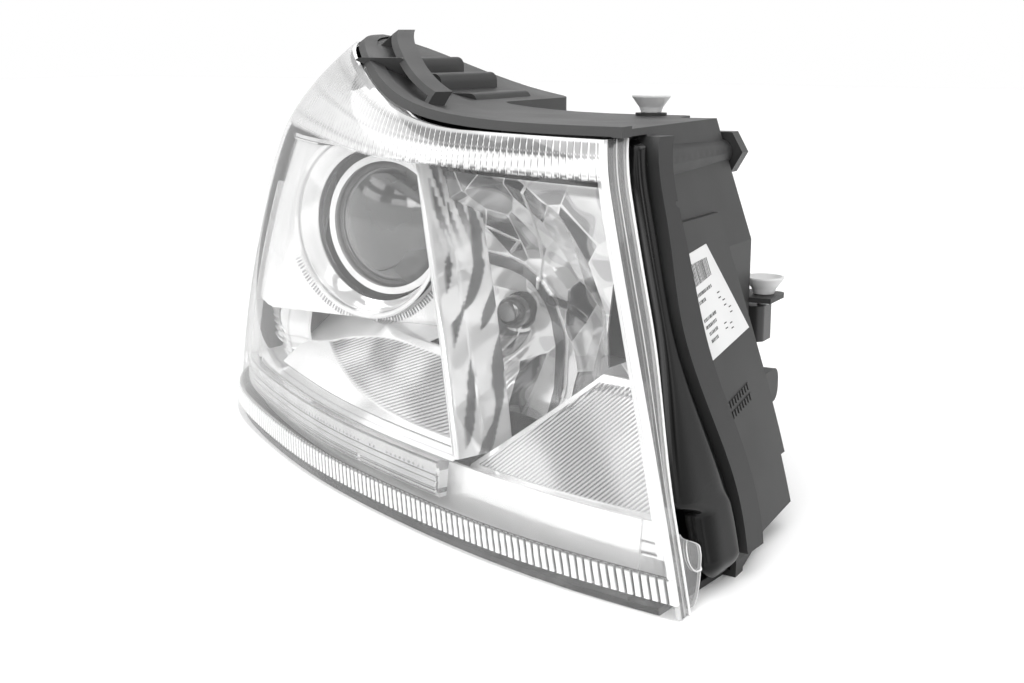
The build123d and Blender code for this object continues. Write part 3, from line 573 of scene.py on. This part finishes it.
def inner_fluted_panel():
    """Sloping panel below the high beam: flutes, a row of ticks along its top, and a gap line."""
    s, z = front_grid(lambda z: frame_line(z) + 1.5, 157.5, 28, panel_top, 340, 130)[:2]
    base = 21.2 + 0.46 * (z - 27.5)
    top = panel_top(s) - z
    field = smooth((top - 3.0) / 0.8) * smooth((z - 33.5) / 0.8) * smooth((s - frame_line(z) - 5) / 1.5)
    phase = np.mod((s * 0.80 + (z - 27.5) * 0.86) / 2.3, 1)
    flutes = 0.42 * np.abs(np.sin(pi * phase)) * field
    tick_phase = np.mod((s * 0.75 + z * 0.55) / 2.4, 1)
    ticks = stripe(top, 5.2, 1.8, 0.6) * smooth((120 - s) / 10) * (tick_phase < 0.42)
    # painted reflections and shade: random darkening of the flutes, painted dark in each groove and in the ticks
    patch = patchy(s, z * 1.4, 60, 21)
    depth_shade = 0.22 + 0.20 * patch
    tone = 1 - field * (depth_shade + (0.50 + 0.12 * patch) * stripe(np.abs(phase - 0.5), 0.5, 0.17, 0.1))
    tone = np.minimum(tone, 1 - 0.75 * ticks * field)
    # painted shadow along the gap line under the panel, broken in places
    gap = stripe(z, 30.6, 0.5, 0.4) * (patchy(s, z, 11, 5) > -0.55) * (s > 36)
    tone -= 0.85 * gap
    front = on_front(s, z, base + 0.5 - flutes - 0.5 * ticks * field + 0.8 * gap)
    back = on_front(s, z, base + 1.9)
    return plate("inner_fluted_panel", front, back, "housing", record_slot["inner_flute_panel"],
                 fluted_chrome, 60, tone=np.clip(tone, 0.02, 1))


def distance_to_path(x, z, path):
    """Signed distance in the front view: positive on the right-hand side of the path."""
    best, side = np.full(x.shape, 1e9), np.zeros(x.shape)
    for (ax, az), (bx, bz) in zip(path[:-1], path[1:]):
        dx, dz = bx - ax, bz - az
        k = np.clip(((x - ax) * dx + (z - az) * dz) / (dx * dx + dz * dz), 0, 1)
        gap = np.hypot(x - ax - k * dx, z - az - k * dz)
        cross = (x - ax) * dz - (z - az) * dx
        side = np.where(gap < best, np.sign(cross), side)
        best = np.minimum(best, gap)
    return best * side


# the dish's facets: middle of each, across and up from the middle of the bulb hole, and tone, the reflection
# painted on that facet
FACETS = [(5, 68, 0.35), (-14, 54, 0.9), (0, 46, 0.12), (18, 46, 0.4), (-20, 68, 0.08), (-8, 80, 0.1),
          (45, 80, 0.5), (38, 66, 0.05), (48, 52, 1.0), (52, 40, 0.95), (66, 37, 0.4), (36, 30, 1.0),
          (74, 50, 0.3), (84, 66, 0.55), (60, -4, 1.0), (48, 9, 0.1), (80, -12, 0.6), (70, -32, 0.35),
          (96, 40, 0.8), (96, 5, 0.9), (-14, 40, 1.0), (-33, 27, 0.3), (-14, 22, 0.95), (-30, 8, 0.4),
          (-18, 3, 1.0), (-21, -18, 0.45), (-10, -12, 0.3), (-7, -33, 1.0), (8, -16, 1.0), (14, -32, 0.3),
          (24, -34, 0.9), (-34, -13, 0.9), (-28, -48, 0.5), (24, 50, 1.0), (22, 16, 0.8), (110, -25, 0.7),
          (0, 98, 0.5), (60, 98, 0.3)]
# lines on the dish, in the same measures
ARCH = [(-20, 31), (-2, 26), (12, 18), (21, 7), (27, -9), (31, -18), (37, -34), (38, -48)]
SPINE = [(43, 84), (30, 60), (23, 39), (17, 25), (14, 14)]
EDGE = [(-23, 55), (8, 40), (0, 33)]
SHELF = [(22, 8), (52, 4)]
DISH_LEFT, DISH_LOW, DISH_HIGH = -196.4, 42.6, 171.4
FACETED = 0.85                        # 1 is flat facets, 0 is a smooth dish
DISH_NEAR = 24.8                      # depth of the dish's front edge
BEHIND_PANEL, BEHIND_DISH = 60.0, 71.0    # depths that clear the two fluted panels
ARCH_HALF = 3.6                       # half the width of the raised arch


def faceted_dish():
    """The high-beam dish: a paraboloid cut into facets, with a raised arch and ribs."""
    columns, rows = 330, 330
    z_row = np.linspace(DISH_LOW, DISH_HIGH, rows)

    def surface(x, z):
        dx, dz = x - HIGH_BEAM.x, z - HIGH_BEAM.z
        facets = np.full(x.shape, 1e9)
        for fx, fz, _ in FACETS:
            tangent = -(fx * fx + fz * fz) / (4 * DISH_FOCUS) \
                - (fx * (dx - fx) + fz * (dz - fz)) / (2 * DISH_FOCUS)
            facets = np.minimum(facets, tangent)
        paraboloid = -(dx * dx + dz * dz) / (4 * DISH_FOCUS)
        y = FACETED * facets + (1 - FACETED) * paraboloid - 0.3
        y += 0.35 * patchy(dx, dz, 40, 31)
        arch = distance_to_path(dx, dz, ARCH)
        y -= 2.6 * smooth((4.2 - np.abs(arch)) / 1.2)
        y -= 1.2 * stripe(distance_to_path(dx, dz, SPINE), 0, 1.0, 0.5)
        y -= 0.8 * stripe(distance_to_path(dx, dz, EDGE), 0, 0.9, 0.5)
        y += 1.6 * stripe(distance_to_path(dx, dz, SHELF), 0, 2.4, 1.0)
        run = smooth((-4 - dz) / 14) * smooth((14 - dx) / 10)
        lane = dx * 0.86 - dz * 0.5 + 4.0 * np.sin(dz / 9.0)
        y += run * (1.1 * np.sin(lane / 2.6) + 0.5 * np.sin(lane / 1.1 + 1.0))
        return y + HIGH_BEAM.y

    # the right-hand edge of each row is where the dish meets the side of the inner frame
    steps = 300
    reach = np.linspace(DISH_NEAR, 110, steps)[:, None]
    ray = on_front(frame_line(z_row)[None, :] + 6, z_row[None, :], reach)
    ahead = ray[..., 1] < surface(ray[..., 0], z_row[None, :] + 0 * reach)
    last = np.clip(ahead.sum(axis=0), 0, steps - 1)
    right = np.minimum(-60.6, ray[last, np.arange(rows), 0])
    u = np.linspace(0, 1, columns)[:, None]
    x = DISH_LEFT * (1 - u) + right[None, :] * u
    z = z_row[None, :] + 0 * u
    near, along = behind_lens(x, z, DISH_NEAR)
    beside = smooth((85 - z) / 3) * smooth((along - divider_line(z) + 19) / 3)
    far = behind_lens(x, z, BEHIND_PANEL + (BEHIND_DISH - BEHIND_PANEL) * beside)[0]
    low = np.maximum(smooth((panel_top(along) + 9 - z) / 3), beside)
    y = np.maximum(surface(x, z), near * (1 - low) + far * low)
    dx, dz = x - HIGH_BEAM.x, z - HIGH_BEAM.z
    # the bulb hole: points inside its rim are pushed back into a short sleeve
    sink = smooth((BULB_HOLE_R - 0.8 - np.hypot(dx, dz)) / 0.8)
    front = np.stack([x, y + 11.0 * sink, z], axis=-1)
    spread = np.stack([np.hypot(dx - fx, dz - fz) for fx, fz, _ in FACETS])
    nearest = np.sort(spread, axis=0)
    # tone is painted reflection: each facet's listed tone, lightened and darkened by a random cloud, with painted
    # highlights along the creases between facets
    tone = np.array([shade for _, _, shade in FACETS])[np.argmin(spread, axis=0)]
    cloud = patchy(dx, dz, 24, 8)
    tone = np.clip(tone + 0.25 * smooth((cloud - 0.1) / 0.1) - 0.25 * smooth((-0.3 - cloud) / 0.1), 0, 1)
    tone = np.maximum(tone, stripe(nearest[1] - nearest[0], 0, 0.7, 0.5))
    # painted dark reflection on the raised arch and painted highlights along its sides, painted dark reflection
    # lanes low down, painted shade under the shelf, painted highlights along the spine, the edge line and the bulb
    # hole's rim, and painted shade inside the hole
    arch = distance_to_path(dx, dz, ARCH)
    tone = np.where(np.abs(arch) < ARCH_HALF, 0.15 + 0.1 * cloud, tone)
    tone = np.where(np.abs(np.abs(arch) - 4.0) < 0.5, 1.0, tone)
    lower = smooth((8 - dz) / 8) * smooth((20 - dx) / 6)
    lane = dx * 0.86 - dz * 0.5 + 4.0 * np.sin(dz / 9.0)
    tone -= 0.72 * lower * smooth((np.sin(lane / 3.1) + 0.5 * patchy(dx, dz, 30, 9) - 0.55) / 0.12)
    tone -= 0.7 * stripe(distance_to_path(dx, dz, SHELF), 0, 2.2, 0.6)
    tone = np.where(stripe(distance_to_path(dx, dz, SPINE), 0, 1.1, 0.5) > 0.5, 1.0, tone)
    tone = np.where(stripe(distance_to_path(dx, dz, EDGE), 0, 0.9, 0.5) > 0.5, 1.0, tone)
    rim = stripe(np.hypot(dx, dz), BULB_HOLE_R + 1.2, 0.9, 0.5)
    tone = np.where(sink > 0.3, 0.03, np.maximum(tone, rim))
    back = front.copy()
    back[..., 1] += 1.6
    return plate("high_beam_dish", front, back, "optics", record_slot["high_beam_reflector"],
                 toned_chrome, 12, tone=np.clip(tone, 0.02, 1))


# cross-section of the fin, as (place beside the divider line, depth): side, front bar, groove, bar, side
FIN_SECTION = [(-9.4, 43.5), (-9.4, 30), (-9.4, 20), (-9.4, 12), (-9.2, 10.2), (-8.6, 9.4),
               (-7.8, 9.2), (-7.0, 9.5), (-6.5, 10.4), (-6.3, 12.5), (-6.0, 15), (-5.2, 18),
               (-4.2, 20.5), (-3.0, 22), (-2.2, 20.6), (-1.6, 17), (-1.2, 14), (-0.8, 12.9),
               (-0.4, 12.9), (-0.15, 14), (-0.1, 18), (-0.1, 26), (-0.1, 36), (-0.1, 43.5)]


def divider():
    """Tall fin between the two beams: a bar at its front, a crease, and pleated sides."""
    z = np.linspace(39.3, 175.7, 230)[:, None]
    path = np.array(FIN_SECTION)
    fine = []
    for a, b in zip(path[:-1], path[1:]):
        steps = max(1, int(np.hypot(*(b - a)) / 1.2))
        fine += [a + (b - a) * k / steps for k in range(steps)]
    path = np.array(fine + [path[-1]])
    offset, depth = path[:, 0][None, :], path[:, 1][None, :]
    top = smooth((z - 128) / 30)
    pleat = np.abs(np.sin((depth * 0.55 + (z - 176) * 0.16))) ** 0.6
    side = smooth((depth - 13) / 3)
    s = divider_line(z) + offset + 0 * z
    z = z + 0 * offset
    depth = depth + 0 * z
    # painted reflections: dark streaks on the upper sides, dark lanes on the lower sides, and a painted highlight
    # along the crease
    reflection_streaks = smooth((patchy(depth * 3 + (z - 176) * 0.9, z * 0.12, 15, 17) + 0.25) / 0.12)
    lane = np.sin((depth * 1.25 - z * 0.62 + 5 * np.sin(z / 11.0)) / 3.4)
    reflection_lanes = smooth((lane + 0.6 * patchy(depth * 2, z, 40, 18) - 0.45) / 0.12)
    crease = stripe(depth, 27 - 0.04 * (z - 40), 0.5, 0.3) * side
    tone = 1 - side * top * 0.92 * reflection_streaks - side * (1 - top) * 0.85 * reflection_lanes
    tone = np.maximum(tone, crease)
    front = on_front(s - 0.9 * pleat * side * top - 0.5 * crease, z, depth)
    back = on_front(s, z, depth + 1.0)
    return plate("divider_fin_folds", front, back, "housing", record_slot["divider_fin"], toned_chrome, 40,
                 tone=np.clip(tone, 0.03, 1))


# section through the bezel, as (share of the way back, outward, tone); tone is painted reflection, with painted
# shadow in the dark gap towards the back
BEZEL_SECTION = [(0.00, -0.2, 1.0), (0.00, -1.0, 1.0), (0.03, -1.9, 0.9), (0.05, -2.0, 0.55),
                 (0.10, -2.2, 0.55), (0.12, -2.3, 1.0), (0.16, -1.7, 1.0), (0.19, -2.4, 1.0),
                 (0.30, -3.2, 0.97), (0.45, -4.1, 0.9), (0.58, -4.4, 1.0), (0.64, -4.6, 0.85),
                 (0.70, -3.8, 1.0), (0.73, -3.4, 0.15), (0.84, -2.4, 0.03), (0.92, -1.6, 0.03),
                 (0.97, -1.2, 0.05), (1.0, -1.0, 0.08)]


def bezel():
    """Stepped rings round the projector glass."""
    angles = np.linspace(0, 2 * pi, 241)[:-1][:, None]
    share, outward, shade = (np.array(c)[None, :] for c in zip(*BEZEL_SECTION))
    share = share * 0.94 + 0 * angles
    start, finish = np.array(BEZEL), np.array(PROJECTOR) + (0, -3.5, 0)
    radius = BEZEL_R * (1 - share) + (GLASS_R + 8.3) * share + outward
    cant = radians(BEZEL_CANT) * (1 - share)

    def ring(radius, along):
        x = radius * np.cos(angles)
        center = start * (1 - share[..., None]) + finish * share[..., None]
        across, back = x * np.cos(cant), along - x * np.sin(cant)
        points = np.stack([across, back, radius * np.sin(angles)], -1) + center
        points[..., 2] = np.minimum(points[..., 2], 177.4)
        return points
    tone = shade + 0 * angles
    # painted reflections: random darker patches on the bright rings
    reflection_veil = patchy(angles * 40, share * 40, 60, 41)
    tone = np.where(tone > 0.8, tone - 0.20 * smooth((reflection_veil - 0.45) / 0.2), tone)
    return plate("projector_bezel_rings", ring(radius, 0.0), ring(radius + 1.0, 0.6), "housing",
                 record_slot["projector_bezel"], toned_chrome, 40, closed=True, tone=np.clip(tone, 0, 1))


SURROUND = (-384.0, -209.0, 73.6, 176.5)      # its left, right, foot and top
SURROUND_Y = 168.2


def bezel_surround():
    """Panel round the bezel, running down to the fluted dish, with short ribs on its shelf."""
    angles = np.linspace(0, 2 * pi, 721)[:-1][:, None]
    t = np.linspace(0, 1, 60)[None, :]
    left, right, foot, top = SURROUND
    ca, sa = np.cos(angles), np.sin(angles)
    tiny = 1e-6
    reach_x = np.where(ca > 0, right - BEZEL.x, BEZEL.x - left) / np.maximum(np.abs(ca), tiny)
    reach_z = np.where(sa > 0, top - BEZEL.z, BEZEL.z - foot) / np.maximum(np.abs(sa), tiny)
    reach = np.minimum(reach_x, reach_z)
    inner = np.minimum(BEZEL_R - 1.0, reach - 0.6)
    r = inner * (1 - t) + reach * t
    x, z = BEZEL.x + r * ca, BEZEL.z + r * sa
    # the panel's foot follows the back edge of the dish below
    s_edge = np.linspace(150, 420, 300)
    edge = on_front(s_edge, 73.5, 55.5)
    y_edge = np.interp(-x, -edge[:, 0], edge[:, 1])
    shelf = 1 - smooth((z - foot) / 1.8)
    y = SURROUND_Y * (1 - shelf) + y_edge * shelf
    y = np.maximum(y, behind_lens(x, z, 9.5)[0])        # the outer end follows the lens
    band = stripe(r, BEZEL_R + 3.2, 1.9, 0.6) * smooth((BEZEL.z - 20 - z) / 6)
    rib = np.mod(angles / radians(2.1), 1) < 0.45
    front = np.stack([x, y - 0.6 * band * rib, z], axis=-1)
    back = np.stack([x, y + 2.0, z], axis=-1)
    # painted shade between the shelf's short ribs, and random painted reflection
    tone = 1 - 0.6 * band * rib - 0.12 * smooth((patchy(x, z, 44, 51) - 0.2) / 0.4)
    return plate("outer_trim_surround", front, back, "housing", record_slot["outer_trim"], toned_chrome, 30,
                 closed=True, tone=np.clip(tone, 0, 1))


LINER_START = 391                     # place along the lens where the wing's liner starts
LINER_TURN = 384                      # where the foot of the lamp turns into the wing


def wing_liner():
    """Bright liner behind the outer end of the lens, stepped along its foot."""
    s, z = front_grid(LINER_START, lambda z: lens_end(z) - 14, 36.5, 176.5, 240, 180)[:2]
    steps = smooth((64 - z) / 26)
    rings = np.mod((z + 0.00018 * (s - LINER_TURN) ** 2) / 4.6, 1)
    ledge = 1.6 * smooth((rings - 0.75) / 0.2) * steps
    turn = 9 * smooth((s - LINER_START) / 22)
    depth = 32 - turn + 6 * steps - ledge - 14 * smooth((s - 470) / 50)
    # painted shade along each ledge, a painted reflection streak, and random painted reflection
    line = stripe(rings, 0.86, 0.06, 0.06) * steps
    streak = stripe(s, 404 + 0.05 * (176 - z), 1.2, 0.8)
    tone = 0.97 - 0.32 * line - 0.30 * streak - 0.10 * smooth((patchy(s, z, 38, 61) - 0.1) / 0.3)
    front = on_front(s, z, depth)
    back = on_front(s, z, depth + 1.6)
    return plate("wing_liner", front, back, "housing", record_slot["outer_trim"], toned_chrome, 30,
                 tone=np.clip(tone, 0, 1))


def foot_ledge():
    """Narrow ledge that joins the fluted dish and the liner to the trim below them."""
    s, t = np.meshgrid(np.linspace(160, 461, 420), np.linspace(0, 1, 16), indexing="ij")
    z = 35.4 + 3.8 * t
    depth = 14.2 + t * (6.4 + 9 * smooth((s - LINER_TURN) / 22))
    # painted dark reflection line along the middle of the ledge
    tone = 1 - 0.35 * stripe(t, 0.45, 0.05, 0.1)
    return plate("lower_trim_ledge", on_front(s, z, depth), on_front(s, z, depth + 0.8), "housing",
                 record_slot["lower_trim"], toned_chrome, 40, tone=tone)


def foot_end():
    """Inner end of the trim along the foot of the lens."""
    def start(z):
        return np.where(z < 21.6, lens_start(z) + 3.4, frame_line(z) + 0.7)
    s, z, _, v = front_grid(start, 35.8, 9.6, 34.8, 24, 60)
    groove = stripe(v, 0.42, 0.02, 0.02) + stripe(v, 0.62, 0.02, 0.02)
    # the grooves are cut in and painted darker: painted shade
    return plate("lower_trim_end", on_front(s, z, 14.2 + 0.4 * groove), on_front(s, z, 15.8), "housing",
                 record_slot["lower_trim"], toned_chrome, 40, tone=np.clip(0.97 - 0.5 * groove, 0, 1))


def wing_shelf():
    """Bright shelf over the liner, under the turn signal's floor."""
    s, t = np.meshgrid(np.linspace(372, 482, 160), np.linspace(0, 1, 24), indexing="ij")
    depth = 8 + 32 * t
    # painted dark reflection line near the shelf's front
    return plate("wing_shelf", on_front(s, 177.0, depth), on_front(s, 178.0, depth), "housing",
                 record_slot["outer_trim"], toned_chrome, 40, tone=1 - 0.4 * stripe(t, 0.1, 0.03, 0.02))


def side_liner():
    """Bright wall between the inner frame and the edge of the high-beam dish."""
    s, z, u, _ = front_grid(lambda z: frame_line(z) + 0.5, lambda z: frame_line(z) + 9, 80, 175.5, 20, 120)
    depth = 33 + 12 * u
    # painted reflections: random dark patches
    tone = 0.95 - 0.7 * smooth((patchy(u * 30, z, 34, 71) - 0.15) / 0.12)
    return plate("side_liner", on_front(s, z, depth), on_front(s, z, depth + 1), "housing",
                 record_slot["inner_trim"], toned_chrome, 40, tone=np.clip(tone, 0, 1))


foot_ledge()
foot_end()
wing_shelf()
side_liner()
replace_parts(outer_fluted_dish(), "outer_flute_panel")
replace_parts(inner_fluted_panel(), "inner_flute_panel")
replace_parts(faceted_dish(), "high_beam_reflector")
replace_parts(divider(), "divider_fin")
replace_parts(bezel(), "projector_bezel")
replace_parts(bezel_surround(), "outer_trim")
wing_liner()


GUIDE_LINES = ((0.05, 0.020), (0.17, 0.022), (0.23, 0.012), (0.42, 0.012), (0.60, 0.012), (0.96, 0.03))


def guide():
    """Light bar along the foot of the lens: stepped lines, a row of dots, and a clip notch."""
    s, z, _, v = front_grid(159.5, 461.5, 18.9, 36.1, 760, 60)
    notch = stripe(s, 236, 1.6, 0.5) * (v < 0.35)
    lines = 0
    for place, half in GUIDE_LINES:
        lines = np.maximum(lines, stripe(v, place, half, 0.02))
    dots = stripe(v, 0.70, 0.035, 0.02) * (np.mod(s / 4.2, 1) < 0.42) * (patchy(s, z, 16, 12) > -0.6)
    crown = 1.1 * np.sqrt(np.clip(1 - (2 * v - 1) ** 6, 0, 1))
    outer = on_front(s, z, 7.4 - crown + 0.6 * lines - 0.4 * dots + 0.7 * notch)
    inner = on_front(s, z, 11.6)
    prism_end = smooth((163 - s) / 0.6)
    # painted light and shade: the stepped lines and dots painted dark, the notch painted bright, and the prism end
    # in random painted light and dark facets
    tone = 0.93 - 0.80 * lines - 0.45 * dots + 0.05 * patchy(s, z, 20, 13)
    tone = np.where(notch > 0.4, 0.98, tone)
    cover = 0.40 + 0.5 * lines + 0.4 * dots
    facet = smooth((patchy(s * 3, z, 9, 14) - 0.1) / 0.1)
    tone = np.where(prism_end > 0.5, 0.95 - 0.85 * facet, tone)
    cover = np.where(prism_end > 0.5, 0.55, cover)
    return plate("light_guide_bar", outer, inner, "housing", record_slot["light_guide"], guide_clear, 40,
                 tone=np.clip(tone, 0, 1), cover=np.clip(cover, 0, 1))


def guide_upright():
    """The bar's upright end, up the wing side."""
    s, z, u, _ = front_grid(450.5, 461.5, 36.5, 149, 26, 220)
    lines = np.maximum(stripe(u, 0.15, 0.04, 0.04), stripe(u, 0.8, 0.04, 0.04))
    outer = on_front(s, z, 7.2 - 0.9 * np.sqrt(np.clip(1 - (2 * u - 1) ** 4, 0, 1)) + 0.4 * lines)
    inner = on_front(s, z, 11.6)
    # the two lines are painted darker: painted shade
    return plate("light_guide_upright", outer, inner, "housing", record_slot["light_guide"],
                 guide_clear, 40, tone=0.95 - 0.4 * lines, cover=0.12 + 0.25 * lines)


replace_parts(guide(), "light_guide")
guide_upright()

# ---- label print and moulded marks on the inner side ----


def side_x(z, proud):
    return on_front(lens_start(np.asarray(z, float)), z)[..., 0] + proud


def label_face():
    """Height of the label's outer face across the lamp, as a cubic in z, read from its node."""
    points = np.array([v.co for v in frame["nodes"]["type_label"].data.vertices])
    points = (points - np.array(SHIFT)) * 1000
    for _ in range(3):
        curve = np.polyfit(points[:, 2], points[:, 0], 3)
        points = points[points[:, 0] >= np.polyval(curve, points[:, 2]) - 0.02]
    return lambda z: np.polyval(curve, z)


def blocks(name, boxes, face, proud, thick, look):
    """Small raised blocks on the housing's inner side. Each box is (y0, y1, z0, z1, slant)."""
    mesh = bpy.data.meshes.new(name)
    shape = bmesh.new()
    for y0, y1, z0, z1, slant in boxes:
        corners = [(y0, z0), (y1, z0 + slant), (y1, z1 + slant), (y0, z1)]
        near = [shape.verts.new(metres((float(face(z)) + proud, y, z))) for y, z in corners]
        far = [shape.verts.new(metres((float(face(z)) + proud - thick, y, z))) for y, z in corners]
        shape.faces.new(near)
        shape.faces.new(far[::-1])
        for k in range(4):
            shape.faces.new((near[k], far[k], far[(k + 1) % 4], near[(k + 1) % 4]))
    bmesh.ops.recalc_face_normals(shape, faces=shape.faces)
    shape.to_mesh(mesh)
    shape.free()
    return finish_piece(name, mesh, "housing", look, 30)


# rows of bars on the label: height, and where each starts and ends across
LABEL_ROWS = ((121.0, 78, 104), (117.6, 77, 93), (110.5, 84, 100), (107.4, 84, 98), (104.3, 86, 97),
              (101.0, 86, 95))
LABEL_DASHES = ((108, 118), (112, 114), (117, 110), (106, 104), (113, 103))


def label_print():
    boxes = []
    y = 78.5
    while y < 107:
        wide = random.uniform(0.35, 0.9)
        boxes.append((y, y + wide, 125.5 + 0.13 * (y - 78), 136 + 0.05 * (y - 78), 0))
        y += wide + random.uniform(0.35, 0.8)
    for z, y0, y1 in LABEL_ROWS:
        y = y0
        while y < y1:
            wide = random.uniform(0.5, 1.3)
            boxes.append((y, y + wide, z + 0.12 * (y - y0), z + 1.5 + 0.12 * (y - y0), 0.0))
            y += wide + random.uniform(0.35, 0.9)
    for y, z in LABEL_DASHES:
        boxes.append((y, y + 3.2, z, z + 0.5, 0.2))
        boxes.append((y, y + 3.2, z + 2.4, z + 2.9, 0.2))
    return blocks("type_label_print", boxes, label_face(), 0.06, 0.1, label_ink)


def mould_marks():
    boxes = []
    for row in range(2):
        for k in range(9):
            y, z = 84 + 3.6 * k, 70.5 - 4.8 * row + 0.45 * k
            boxes.append((y, y + 1.6, z, z + 3.0, 0.3))
    return blocks("housing_marks", boxes, lambda z: side_x(z, LIP + 3), 0.3, 0.6, dark_grey)


label_print()
mould_marks()

# ---- stage ----
bpy.ops.mesh.primitive_plane_add(size=14)
floor = bpy.context.object
floor.name = "floor"
m, n = material("floor")
n.output(n.add("BsdfPrincipled", {"Base Color": n.ramp(n.noise(2, 2), (0.3, 0.94), (0.7, 0.97)),
                                  "Roughness": 0.75, "Specular IOR Level": 0.1}))
floor.data.materials.append(m)

# white studio walls, with bright panels above them and a bright ceiling
PANELS_ROUND, PANELS_UP = 7.0, 23.0
PANEL_LIGHT, GAP_LIGHT, CEILING_LIGHT = 1.85, 0.14, 1.8
WALL_TOP, HORIZON, CEILING = 0.33, 0.015, 0.90      # heights as the sine of the elevation
OPEN_SIDE, OPEN_HALF = -0.80, 0.30                  # azimuth of the gap in the walls, and half its width
world = bpy.data.worlds.new("studio")
bpy.context.scene.world = world
world.use_nodes = True
world.node_tree.nodes.clear()
w = Nodes(world.node_tree)
direction = w.add("SeparateXYZ", {0: w.add("TexCoord").outputs["Generated"]})
up = direction.outputs[2]
azimuth = w.math("ARCTAN2", direction.outputs[1], direction.outputs[0])
panels = w.math("SINE", w.math("MULTIPLY", azimuth, PANELS_ROUND))
panels = w.math("MULTIPLY", w.math("GREATER_THAN", panels, -0.45),
                w.math("GREATER_THAN", w.math("SINE", w.math("MULTIPLY", up, PANELS_UP)), -0.6))
high = w.math("ADD", GAP_LIGHT, w.math("MULTIPLY", panels, PANEL_LIGHT))
aside = w.math("GREATER_THAN", w.math("ABSOLUTE", w.math("SUBTRACT", azimuth, OPEN_SIDE)), OPEN_HALF)
low = w.math("MULTIPLY", w.math("LESS_THAN", up, WALL_TOP),
             w.math("MAXIMUM", aside, w.math("LESS_THAN", up, HORIZON)))
top = w.math("GREATER_THAN", up, CEILING)
sky = w.math("MAXIMUM", w.math("MAXIMUM", low, w.math("MULTIPLY", top, CEILING_LIGHT)),
             w.math("MULTIPLY", w.math("SUBTRACT", 1.0, low), high))
shade = w.add("CombineColor", {0: sky, 1: sky, 2: sky})
w.add("OutputWorld", {0: w.add("Background", {0: shade, 1: 1.0})})


def softbox(name, where, target, size, power):
    light = bpy.data.lights.new(name, "AREA")
    light.shape = "RECTANGLE"
    light.size, light.size_y = size
    light.energy = power
    box = bpy.data.objects.new(name, light)
    bpy.context.collection.objects.link(box)
    box.location = where
    box.rotation_euler = (Vector(target) - Vector(where)).to_track_quat("-Z", "Y").to_euler()
    box.visible_camera = False
    return box


softbox("key", (-1.3, -0.35, 1.7), (0, 0, 0.1), (1.1, 0.8), 8)
softbox("front", (0.42, -0.95, 0.75), (-0.02, -0.1, 0.12), (0.8, 0.5), 5)
softbox("side", (1.6, 0.2, 1.2), (0, 0, 0.1), (0.5, 0.9), 2)
bpy.context.scene.view_settings.view_transform = "Standard"

# ---- camera ----
EYE = Vector((201.0, -510.7, 236.0))
IMAGE_WIDTH, FOCAL_PIXELS, SENSOR = 1024, 1400, 36
camera_data = bpy.data.cameras.new("camera")
camera_data.lens = FOCAL_PIXELS / IMAGE_WIDTH * SENSOR
camera = bpy.data.objects.new("camera", camera_data)
bpy.context.collection.objects.link(camera)
camera.location = EYE / 1000 + SHIFT
camera.rotation_euler = (radians(78), 0, radians(29))
bpy.context.scene.camera = camera
